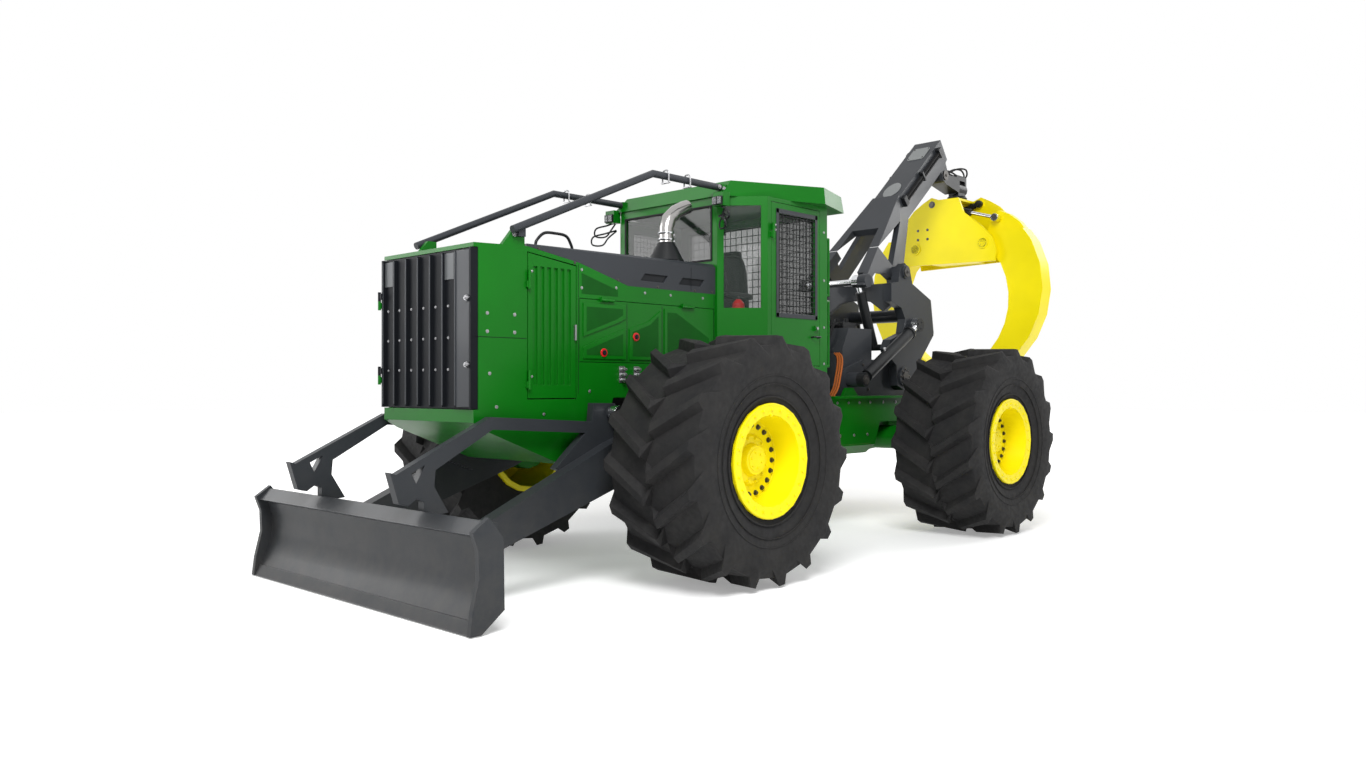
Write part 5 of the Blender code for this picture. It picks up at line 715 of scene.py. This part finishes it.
def build_cab_outside():
    """Lamps and their guard loops, the brush guards' clamps, and bolts."""
    lamps = Trim("lamp_housings", BLACK, bevel=0.003)
    lenses = Trim("lamp_lenses", LENS, bevel=0.001)
    for x0, x1 in ((0.646, 0.697), (0.703, 0.754)):
        lamps.side_box((x0, x1), (0.668, 0.6895), (3.088, 3.160))
        lenses.side_box((x0 + 0.005, x1 - 0.005), (0.664, 0.669), (3.094, 3.154))
    lamps.side_box((0.55, 0.66), (2.165, 2.215), (3.11, 3.1795))
    lenses.side_box((0.56, 0.65), (2.215, 2.220), (3.12, 3.17))

    loops = Trim("lamp_guard_loops", BLACK)
    for _, side in SIDES:
        for z, y in LAMP_LOOPS:
            path = ((0.700, 0.775, z + 0.05), (0.735, y, z + 0.01), (0.84, y - 0.06, z - 0.02),
                    (0.86, y - 0.05, z - 0.09), (0.76, y - 0.01, z - 0.10), (0.72, y + 0.03, z - 0.03),
                    (0.705, 0.782, z + 0.045))
            loops.hose([at(side * a, b, c) for a, b, c in path], 0.008, 6, 8)

    clamps = Trim("guard_clamps", ZINC)
    for y in (0.10, 0.36):
        clamps.side_box((0.595, 0.685), (y - 0.012, y + 0.012), (3.196, 3.206))
        for _, side in SIDES:
            clamps.hose([at(side * x, y, z) for x, z in GUARD_CLAMP_PATH], 0.007, 5, 8)
    clamps.side_bolts(0.670, ((0.80, 3.245),), 0.014, 0.014)
    clamps.side_bolts(0.670, ((0.74, 3.257),), 0.012, 0.012)

    bolts = Trim("cab_bolts", ZINC)
    bolts.side_bolts(0.951, PILLAR_BOLTS, 0.008, 0.006)
    for _, side in SIDES:
        for z in (2.07, 2.41):
            bolts.bolt(at(side * 0.45, 0.765, z), FORWARD, 0.008, 0.006)
        for x in (0.15, 0.45, 0.75):
            for z in (2.12, 1.70):
                bolts.bolt(at(side * x, 1.947, z), REARWARD, 0.009, 0.007)


# Operator's place

def crowned_pad(name, centre, half, power, lean=0.0, channels=()):
    """A stuffed pad: a rounded block that crowns in the middle, with sewn channels across it."""
    shape = bmesh.new()
    bmesh.ops.create_cube(shape, size=2.0)
    bmesh.ops.subdivide_edges(shape, edges=shape.edges[:], cuts=14, use_grid_fill=True)
    for vertex in shape.verts:
        length = sum(abs(value) ** power for value in vertex.co) ** (1 / power)
        vertex.co = vertex.co / length
        sink = sum(math.exp(-((vertex.co.x - place) / 0.035) ** 2) for place in channels)
        vertex.co.z *= 1.0 - 0.14 * sink
        vertex.co = Vector((vertex.co.x * half[0], vertex.co.y * half[1], vertex.co.z * half[2]))
    turn = Matrix.Translation(centre) @ Matrix.Rotation(lean, 4, "X")
    bmesh.ops.transform(shape, matrix=turn, verts=shape.verts)
    mesh = bpy.data.meshes.new(name)
    shape.to_mesh(mesh)
    shape.free()
    mesh.shade_smooth()
    mesh.materials.append(VINYL)
    piece = link_new(name, mesh)
    smooth = piece.modifiers.new("smooth", "SUBSURF")
    smooth.levels = 1
    smooth.render_levels = 1
    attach(piece, "main_frame")
    return piece


SEAT_LEAN = math.radians(98)
CAB_FLOOR_Z = 1.661
BELLOWS, BELLOWS_PITCH = 5, 0.055
WHEEL_HUB, WHEEL_TILT = (-0.06, 1.03, 2.39), (0, 0.5, 1.0)
EXTINGUISHER = (0.56, 1.12)
EXTINGUISHER_LEVER = ((1.12, 2.325), (1.20, 2.300), (1.20, 2.312), (1.12, 2.338))


def build_cab_inside():
    """Seat cushions and base, levers, steering wheel, extinguisher, screen and floor mat."""
    seat = crowned_pad("seat_cushion", at(0, 1.40, 2.135), (0.235, 0.235, 0.060), 4.5, 0.05, (-0.62, 0.62))
    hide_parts("operator_seat")
    crowned_pad("seat_back", at(0, 1.625, 2.470), (0.225, 0.315, 0.055), 4.5, SEAT_LEAN, (-0.60, 0.60))
    crowned_pad("seat_headrest", at(0, 1.665, 2.775), (0.120, 0.060, 0.040), 4.0, SEAT_LEAN)
    for name, side in SIDES:
        crowned_pad("armrest_" + name, at(side * 0.300, 1.42, 2.365), (0.042, 0.200, 0.032), 4.0)
    base = Trim("seat_base", PLASTIC, bevel=0.006)
    base.box(at(-0.17, 1.25, CAB_FLOOR_Z), at(0.17, 1.56, 1.72))
    for index in range(BELLOWS):
        z = 1.73 + index * BELLOWS_PITCH
        half = 0.15 if index % 2 else 0.165
        base.box(at(-half, 1.405 - half, z), at(half, 1.405 + half, z + 0.050))
    base.box(at(-0.20, 1.22, 2.005), at(0.20, 1.60, 2.078))
    base.side_box((0.25, 0.29), (1.40, 1.48), (2.05, 2.34))
    levers = Trim("cab_levers", PLASTIC)
    for _, side in SIDES:
        x = side * 0.300
        levers.rod(at(x, 1.255, 2.39), at(x, 1.235, 2.48), 0.010, 12)
        levers.rod(at(x, 1.235, 2.47), at(x, 1.220, 2.57), 0.024, 16, 0.018)
    levers.rod(at(-0.10, 0.93, 2.22), at(-0.06, 1.02, 2.38), 0.022, 16)
    hub = at(*WHEEL_HUB)
    levers.ring(hub, WHEEL_TILT, 0.165, 0.013, 40, 8)
    for index in range(3):
        angle = 2 * math.pi * index / 3 + 0.5
        spoke = Vector((0.160 * math.cos(angle), 0.145 * math.sin(angle), -0.072 * math.sin(angle)))
        levers.rod(hub, hub + spoke, 0.009, 8)
    red = Trim("fire_extinguisher", RED, bevel=0.004)
    red.rod(at(*EXTINGUISHER, 1.900), at(*EXTINGUISHER, 2.26), 0.058, 24)
    red.rod(at(*EXTINGUISHER, 2.26), at(*EXTINGUISHER, 2.30), 0.058, 24, 0.022)
    stand = Trim("fire_extinguisher_stand", PLASTIC, bevel=0.003)
    stand.box(at(0.50, 1.06, CAB_FLOOR_Z), at(0.62, 1.18, 1.898))
    stand.rod(at(*EXTINGUISHER, 2.30), at(*EXTINGUISHER, 2.325), 0.016, 12)
    stand.hull([at(x, y, z) for x in (0.552, 0.568) for y, z in EXTINGUISHER_LEVER])
    screen = Trim("console_screen", SCREEN)
    screen.box(at(0.055, 0.8815, 2.235), at(0.265, 0.884, 2.345))
    mat = Trim("cab_floor_mat", HOSE)
    mat.box(at(-0.80, 1.02, 1.6605), at(0.80, 1.88, 1.668))
    for x in spaced(-0.78, 0.0578, 28):
        mat.box(at(x, 1.04, 1.667), at(x + 0.018, 1.23, 1.673))


# Exhaust, blade and frames

STACK_X, STACK_Y = 0.42, 0.33
STACK_FOOT_Z = 2.5858


def build_exhaust():
    """Clamps and shroud of the exhaust stack, and a dark disc across its mouth, which is painted shade of the
    pipe's hollow inside.
    """
    clamps = Trim("exhaust_clamps", CHROME)
    for z in (2.775, 2.830):
        clamps.ring(at(STACK_X, STACK_Y, z), UPWARD, 0.066, 0.008, 28, 6)
        clamps.box(at(0.41, 0.385, z - 0.012), at(0.43, 0.425, z + 0.012))
    clamps.bolt_circle(at(STACK_X, STACK_Y, STACK_FOOT_Z), UPWARD, 0.138, 8, 0.006, 0.007)
    shroud = Trim("exhaust_shroud", BLACK, bevel=0.002)
    shroud.rod(at(STACK_X, STACK_Y, 2.5875), at(STACK_X, STACK_Y, 2.748), 0.155, 32, 0.072)
    # Painted shade: a near-black disc where the pipe's open mouth and its shaded inside would be
    mouth_shade = Trim("exhaust_mouth_shade", GRILLE_DARK)
    mouth_shade.rod(at(STACK_X, 0.582, 3.0855), at(STACK_X, 0.598, 3.0885), 0.055, 24)


# (y, height over the mouldboard's lowest place) of the cutting edge, and (y, z) of the pads behind the blade
CUTTING_EDGE = ((-2.418, 0.002), (-2.385, 0.085), (-2.372, 0.085), (-2.400, 0.002))
BACK_PAD = ((-2.221, 0.42), (-2.226, 0.50), (-2.190, 0.50), (-2.190, 0.42))
BLADE_PIN_X, BLADE_PIN = (0.849, 0.862), (-0.28, 1.03)


def build_blade():
    """Cutting edge, back pads and pins of the blade and its arms."""
    low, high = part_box("blade_mouldboard")
    edge = Trim("blade_cutting_edge", BLADE_GREY, "blade", 0.002)
    ends = low[0] + 0.045, high[0] - 0.045
    edge.hull([at(x, y, low[2] + rise) for x in ends for y, rise in CUTTING_EDGE])
    pads = Trim("blade_back_pads", BLADE_GREY, "blade", 0.003)
    for x0, x1 in ((-1.30, -0.92), (0.92, 1.30)):
        pads.hull([at(x, y, z) for x in (x0, x1) for y, z in BACK_PAD])
    pins = Trim("blade_pins", DARK_STEEL, "blade", 0.002)
    pins.side_rod(BLADE_PIN_X, *BLADE_PIN, 0.085, 28)
    for _, side in SIDES:
        pins.bolt_circle(at(side * BLADE_PIN_X[1], *BLADE_PIN), (side, 0, 0), 0.060, 6, 0.010, 0.010)


PIVOT_Y, PIVOT_TOP_Z = 1.933, 1.305
TANK_BOLTS = ((1.10, 1.10), (1.10, 1.40), (1.30, 1.10), (1.30, 1.40), (1.50, 1.10), (1.50, 1.40))
TREADS, TREAD_PITCH = 9, 0.048
REAR_X, REAR_END_Y = 0.500, 4.4208
REAR_TOP_BOLTS = ((2.75, 1.34), (2.95, 1.34), (3.15, 1.34), (3.35, 1.34), (3.60, 1.34), (3.85, 1.34),
                  (4.10, 1.34), (4.30, 1.34))
REAR_LOW_BOLTS = ((2.80, 1.00), (3.05, 1.00), (3.30, 1.00))
# (share of x, y, z) along the hoses over the pivot
PIVOT_HOSE = ((1, 1.72, 1.302), (1, 1.735, 1.35), (1.1, 1.80, 1.44), (1.3, 1.93, 1.50), (1.3, 2.05, 1.46),
              (1, 2.13, 1.34), (1, 2.20, 1.240))
KEEL_SECTION = ((0.4965, 0.905), (0.5015, 0.905), (0.398, 0.7975), (0.398, 0.803))


def build_frames():
    """Pivot cap, filler caps, step treads, bolts, keel plates and pivot hoses of the two frames."""
    caps = Trim("front_frame_fasteners", ZINC)
    top = at(0, PIVOT_Y, PIVOT_TOP_Z + 0.012)
    caps.rod(at(0, PIVOT_Y, PIVOT_TOP_Z - GAP), top, 0.100, 28)
    caps.bolt_circle(top, UPWARD, 0.075, 8, 0.010, 0.010)
    caps.side_bolts(0.900, TANK_BOLTS, 0.010, 0.008)
    for _, side in SIDES:
        caps.rod(at(side * 0.70, 1.20, 1.499), at(side * 0.70, 1.20, 1.535), 0.045, 20)
        for y in (-0.85, -0.70):
            caps.bolt(at(side * 0.30, y, 0.920), DOWNWARD, 0.012, 0.009)
    treads = Trim("step_treads", DARK_STEEL)
    for y in spaced(1.10, TREAD_PITCH, TREADS):
        for span_z in ((0.664, 0.674), (1.499, 1.506)):
            treads.side_box((0.64, 0.86), (y, y + 0.012), span_z)
    bolts = Trim("rear_frame_bolts", ZINC, "rear_frame")
    bolts.side_bolts(REAR_X, REAR_TOP_BOLTS, 0.011, 0.009)
    bolts.side_bolts(REAR_X, REAR_LOW_BOLTS, 0.012, 0.010)
    for _, side in SIDES:
        for x in (0.15, 0.35):
            for z in (1.02, 1.32):
                bolts.bolt(at(side * x, REAR_END_Y, z), REARWARD, 0.016, 0.014)
    keel = Trim("rear_frame_keel", KEEL, "rear_frame")
    for _, side in SIDES:
        keel.hull([at(side * x, y, z) for y in (2.66, 3.37) for x, z in KEEL_SECTION])
    hoses = Trim("pivot_hoses", HOSE)
    for _, side in SIDES:
        for x in spaced(0.085, 0.027, 3):
            hoses.hose([at(side * x * share, y, z) for share, y, z in PIVOT_HOSE], 0.014)


# Arch, boom and grapple

ARCH_FOOT, ARCH_HEAD, ARCH_LUG, LOWER_PIN = (3.95, 1.62), (3.98, 2.78), (3.72, 1.94), (3.033, 1.581)
ARCH_PIN_X, LUG_PIN_X, LOWER_PIN_X = (0.564, 0.578), (0.5440, 0.552), (0.658, 0.668)
REAR_PAD = ((4.595, 2.12), (4.607, 2.12), (4.546, 2.47), (4.534, 2.47))
ARCH_BASE_BOLTS = ((2.86, 1.50), (3.30, 1.74), (3.60, 1.74), (4.05, 1.50), (3.40, 1.48))
VALVE_X = (-0.24, -0.12, 0.0, 0.12, 0.24)
# (share of the valve's x, y, z) along the hoses that leave a valve rearwards and forwards
REAR_HOSE = ((1, 3.40, 2.16), (1, 3.48, 2.19), (0.9, 3.56, 2.14), (0.7, 3.62, 1.98), (0.6, 3.64, 1.75),
             (0.5, 3.60, 1.50), (0.5, 3.56, 1.402))
FRONT_HOSE = ((1, 3.16, 2.16), (1, 3.06, 2.17), (1, 2.98, 2.06), (0.9, 2.925, 1.90), (0.8, 2.905, 1.65),
              (0.6, 2.86, 1.46), (0.5, 2.72, 1.402))
# (inward shift, y, z) along the sleeved hoses
SLEEVED_HOSE = ((0, 2.66, 1.402), (0, 2.74, 1.50), (0, 2.78, 1.62), (0.02, 2.84, 1.74), (0.08, 2.92, 1.82),
                (0.14, 2.955, 1.86))


def build_arch():
    """Pins and pads of the arch, and the bolts, valves, cover and hoses of its base."""
    pins = Trim("arch_pins", DARK_STEEL, "arch", 0.002)
    pins.side_rod(ARCH_PIN_X, *ARCH_FOOT, 0.055, 28)
    pins.side_rod(ARCH_PIN_X, *ARCH_HEAD, 0.055, 28)
    pins.side_bolts(ARCH_PIN_X[1], (ARCH_HEAD,), 0.016, 0.014)
    pins.side_rod(LUG_PIN_X, *ARCH_LUG, 0.055)
    pins.side_bolts(LUG_PIN_X[1], (ARCH_LUG,), 0.013, 0.012)
    for _, side in SIDES:
        pins.bolt_circle(at(side * 0.565, *ARCH_FOOT), (side, 0, 0), 0.080, 8, 0.011, 0.011)
    pads = Trim("arch_rear_pads", PAD_GREY, "arch", 0.002)
    for _, side in SIDES:
        pads.hull([at(side * x, y, z) for x in (0.452, 0.540) for y, z in REAR_PAD])
    lower = Trim("arch_base_bolts", DARK_STEEL, "rear_frame")
    lower.side_rod(LOWER_PIN_X, *LOWER_PIN, 0.050)
    lower.side_bolts(LOWER_PIN_X[1], (LOWER_PIN,), 0.016, 0.014)
    lower.side_bolts(0.4466, ARCH_BASE_BOLTS, 0.012, 0.010)
    valve = Trim("valve_bank", BLACK, "rear_frame", 0.003)
    for x in VALVE_X:
        valve.box(at(x - 0.045, 3.16, 2.129), at(x + 0.045, 3.40, 2.200))
        valve.rod(at(x, 3.28, 2.20), at(x, 3.28, 2.245), 0.024, 14)
    for x in (-0.30, 0.30):
        valve.rod(at(x, 3.499, 1.70), at(x, 3.56, 1.70), 0.085, 24)
    cover = Trim("tower_cover", GREY, "rear_frame", 0.006)
    cover.box(at(-0.34, 2.945, 1.50), at(0.34, 2.962, 1.86))
    hoses = Trim("valve_hoses", HOSE, "rear_frame")
    for x in VALVE_X:
        for path in (REAR_HOSE, FRONT_HOSE):
            hoses.hose([at(x * share, y, z) for share, y, z in path], 0.014)
    sleeved = Trim("sleeved_hoses", HOSE_ORANGE, "rear_frame")
    for x in spaced(0.46, 0.028, 3):
        sleeved.hose([at(x - shift, y, z) for shift, y, z in SLEEVED_HOSE], 0.010)


BOOM_UP = Vector((0, -0.667, 0.745)).normalized()
BOOM_ALONG = Vector((0, 0.745, 0.667)).normalized()
BOOM_ELBOW, BOOM_TIP = (0, 4.35, 3.64), (0, 5.39, 4.555)
BOOM_PIN, BOOM_PIN_X = (5.580, 4.150), (0.139, 0.152)
SQUARE_SHARE, OVAL_SHARE = 0.80, 0.22
COVER_LIFTS = (-0.001, 0.008)
SQUARE_COVER = ((-0.115, 0.10), (-0.095, 0.13), (0.095, 0.13), (0.115, 0.10), (0.115, -0.10), (0.095, -0.13),
                (-0.095, -0.13), (-0.115, -0.10))
BOOM_HOSE_SHARES = (0.12, 0.31, 0.50, 0.69, 0.88)
# Share along the boom and half length of the blocks that hold its hoses
HOSE_BLOCKS, HOSE_BLOCK_X = ((0.12, 0.035), (0.50, 0.016), (0.88, 0.035)), (0.179, 0.232)


def on_boom(share, lift, x=0.0, run=0.0):
    """A place by the boom's upper face, at a share of the way from its elbow to its tip."""
    low, high = at(*BOOM_ELBOW), at(*BOOM_TIP)
    return low + (high - low) * share + BOOM_UP * lift + Vector((x, 0, 0)) + BOOM_ALONG * run


def build_boom():
    """Cover plates, pins and hoses of the boom."""
    plates = Trim("boom_cover_plates", PAD_GREY, "boom", 0.002)
    plates.hull([on_boom(SQUARE_SHARE, lift, x, run) for x, run in SQUARE_COVER for lift in COVER_LIFTS])
    turns = [2 * math.pi * index / 24 for index in range(24)]
    plates.hull([on_boom(OVAL_SHARE, lift, 0.105 * math.cos(turn), 0.150 * math.sin(turn))
                 for turn in turns for lift in COVER_LIFTS])
    screws = Trim("boom_pins", DARK_STEEL, "boom")
    for x in (-0.095, 0.095):
        for run in (-0.10, 0.10):
            screws.bolt(on_boom(SQUARE_SHARE, COVER_LIFTS[1], x, run), BOOM_UP, 0.007, 0.005)
    screws.side_rod(BOOM_PIN_X, *BOOM_PIN, 0.060)
    screws.side_bolts(BOOM_PIN_X[1], (BOOM_PIN,), 0.014, 0.012)
    hoses = Trim("boom_hoses", HOSE, "boom")
    for _, side in SIDES:
        for x in (0.186, 0.212):
            for lift in (-0.080, -0.114):
                hoses.hose([on_boom(share, lift, side * x) for share in BOOM_HOSE_SHARES], 0.012, 6, 8)
    clips = Trim("boom_hose_clips", BLACK, "boom", 0.003)
    for _, side in SIDES:
        for share, half in HOSE_BLOCKS:
            clips.hull([on_boom(share, lift, side * x, run)
                        for lift in (-0.145, -0.030) for x in HOSE_BLOCK_X for run in (-half, half)])


GRAPPLE_Y = (5.90, 6.34)
# x and z on the front face, radius and height; the rear face carries the same, turned round
GRAPPLE_BOLTS = ((-0.44, 3.55, 0.012, 0.009), (-0.30, 3.55, 0.012, 0.009), (-0.44, 3.43, 0.012, 0.009),
                 (-0.30, 3.43, 0.012, 0.009), (-0.234, 3.868, 0.030, 0.012))
TONG_AXIS = (0.477, 3.307)
CROSSHEAD_HOSE = ((1, 5.70, 4.165), (1, 5.82, 4.235), (1.5, 5.95, 4.29), (1.8, 6.10, 4.30),
                  (1.2, 6.22, 4.26), (0.75, 6.235, 4.22))
TONG_LUG, TONG_LUG_OUT = (0.605, 6.12, 3.62), 0.168


def build_grapple():
    """Pins, bolts, seal and hoses of the grapple."""
    front, rear = GRAPPLE_Y
    bolts = Trim("grapple_bolts", DARK_STEEL, "grapple_body")
    for _, side in SIDES:
        for face, out in ((front, -1), (rear, 1)):
            x, z = side * TONG_AXIS[0], TONG_AXIS[1]
            bolts.rod(at(x, face + out * 0.0145, z), at(x, face + out * 0.015, z), 0.058, 28)
    for x, z, radius, height in GRAPPLE_BOLTS:
        bolts.bolt(at(x, front, z), FORWARD, radius, height)
        bolts.bolt(at(-x, rear, z), REARWARD, radius, height)
    rotor = Trim("rotator_seal", BLACK, "rotator_head")
    rotor.ring(at(0, 6.12, 3.940), UPWARD, 0.122, 0.009, 40, 8)
    hoses = Trim("crosshead_hoses", HOSE, "crosshead")
    for _, side in SIDES:
        for x in (0.040, 0.076):
            hoses.hose([at(side * x * share, y, z) for share, y, z in CROSSHEAD_HOSE], 0.011, 6, 8)
    for name, side in SIDES:
        pin = Trim("tong_pin_" + name, DARK_STEEL, "tong_" + name)
        x, y, z = TONG_LUG
        out = Vector((0, -side, 0))
        face = at(side * x, y - side * TONG_LUG_OUT, z)
        pin.rod(face, face + out * 0.010, 0.032, 24)
        pin.bolt(face + out * 0.010, out, 0.012, 0.010)


# Cylinders: the way from the middle of each kind of barrel to the top of its port
PORT_REACH = {
    "lift_cylinder": (0, 0, 0.055), "arch_cylinder": (0, -0.035, 0.065),
    "steering_cylinder": (0, 0, 0.055), "clamp_cylinder": (0, 0, 0.040),
}
# Keeper plates: kind, the half of the cylinder that carries it, its place on the left side and its radius
PIN_KEEPERS = (
    ("arch", "rod", (0.6585, 4.110, 2.194), 0.077),
    ("lift", "rod", (0.8382, -0.600, 1.300), 0.052),
    ("steering", "barrel", (0.420, 0.700, 1.4115), 0.045),
)


def build_cylinders():
    """Ports on the barrels of the hydraulic cylinders."""
    for kind, reach in PORT_REACH.items():
        for end, _ in SIDES:
            body = f"{kind}_{end}_barrel"
            low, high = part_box(body)
            centre = (Vector(low) + Vector(high)) / 2
            top = Vector(reach)
            port = Trim(f"{kind}_{end}_port", ZINC, body)
            port.rod(centre + top * 0.78, centre + top + Vector((0, 0, 0.012)), 0.014, 12)
            port.rod(centre + top, centre + top + Vector((0, 0, 0.022)), 0.018, 6)


def build_pin_keepers():
    """Black keeper plates with bolts on the ends of the cylinders' pins."""
    for name, side in SIDES:
        for kind, half, (x, y, z), radius in PIN_KEEPERS:
            out = Vector(UPWARD) if kind == "steering" else Vector((side, 0, 0))
            spot = at(side * x, y, z)
            cap = Trim(f"{kind}_pin_keeper_{name}", BLACK, f"{kind}_cylinder_{name}_{half}")
            cap.rod(spot, spot + out * 0.003, radius, 28)
            cap.bolt_circle(spot + out * 0.003, out, radius * 0.55, 3, 0.008, 0.006)


# Studio

WHITE, FLOOR_GREY = (1.0, 1.0, 1.0), (0.86, 0.86, 0.86)
FLOOR_REACH = 60.0
# The floor glows from this much near the machine to plain white at a distance, so that no horizon shows
GLOW = (0.30, 1.0)
GLOW_DISTANCE = (3.5, 13.0)
WORLD_LIGHT = 0.34
LAMP_TARGET = (0, 0, 1.2)
# Name, place, size and power of each lamp
LAMPS = (
    ("key", (6.0, -7.0, 8.5), 4.5, 1150.0),
    ("fill", (-8.0, -7.0, 5.0), 6.0, 420.0),
    ("rear", (3.0, 10.0, 8.0), 7.0, 520.0),
)


def build_studio():
    """Pale floor, soft lights and the photograph's camera."""
    material, tree, shader, place = node_chain("studio floor")
    distance = node(tree, "VectorMath", {0: place}, operation="LENGTH").outputs["Value"]
    fade = node(tree, "MapRange", {
        "Value": distance, "From Min": GLOW_DISTANCE[0], "From Max": GLOW_DISTANCE[1],
        "To Min": GLOW[0], "To Max": GLOW[1],
    }, interpolation_type="SMOOTHSTEP")
    feed(tree, shader, {"Base Color": FLOOR_GREY, "Roughness": 0.9, "Emission Color": WHITE,
                        "Emission Strength": fade.outputs["Result"]})
    floor = bpy.data.meshes.new("studio_floor")
    corners = [(x * FLOOR_REACH, y * FLOOR_REACH, 0) for x, y in ((-1, -1), (1, -1), (1, 1), (-1, 1))]
    floor.from_pydata(corners, [], [(0, 1, 2, 3)])
    floor.materials.append(material)
    link_new("studio_floor", floor)

    world = bpy.data.worlds.new("studio")
    world.use_nodes = True
    tree = world.node_tree
    rays = node(tree, "LightPath", {}).outputs
    seen = rays["Is Camera Ray"]
    for ray in ("Is Glossy Ray", "Is Transmission Ray"):
        seen = node(tree, "Math", {0: seen, 1: rays[ray]}, operation="MAXIMUM").outputs["Value"]
    light = spread(tree, seen, WORLD_LIGHT, 1.0, 0.0, 1.0)
    feed(tree, tree.nodes["Background"], {"Color": WHITE, "Strength": light})
    bpy.context.scene.world = world

    for name, place, size, power in LAMPS:
        lamp = bpy.data.lights.new(name, "AREA")
        lamp.size = size
        lamp.energy = power
        holder = link_new(name, lamp)
        holder.location = place
        holder.rotation_euler = (Vector(LAMP_TARGET) - holder.location).to_track_quat("-Z", "Y").to_euler()

    lens = bpy.data.cameras.new("camera")
    lens.lens = CAMERA_LENS
    lens.sensor_width = SENSOR_WIDTH
    lens.clip_end = 300.0
    camera = link_new("camera", lens)
    camera.location = at(*CAMERA_PLACE)
    camera.rotation_euler = (CAMERA_TILT, 0.0, CAMERA_TURN)
    bpy.context.scene.camera = camera
    bpy.context.scene.view_settings.view_transform = "Standard"


dress_nodes()
for build in (build_wheels, build_hood, build_grille, build_cab, build_cab_inside, build_exhaust, build_blade,
              build_frames, build_arch, build_boom, build_grapple, build_cylinders, build_pin_keepers):
    build()
    while TRIMS:
        TRIMS.pop(0).finish()
build_studio()
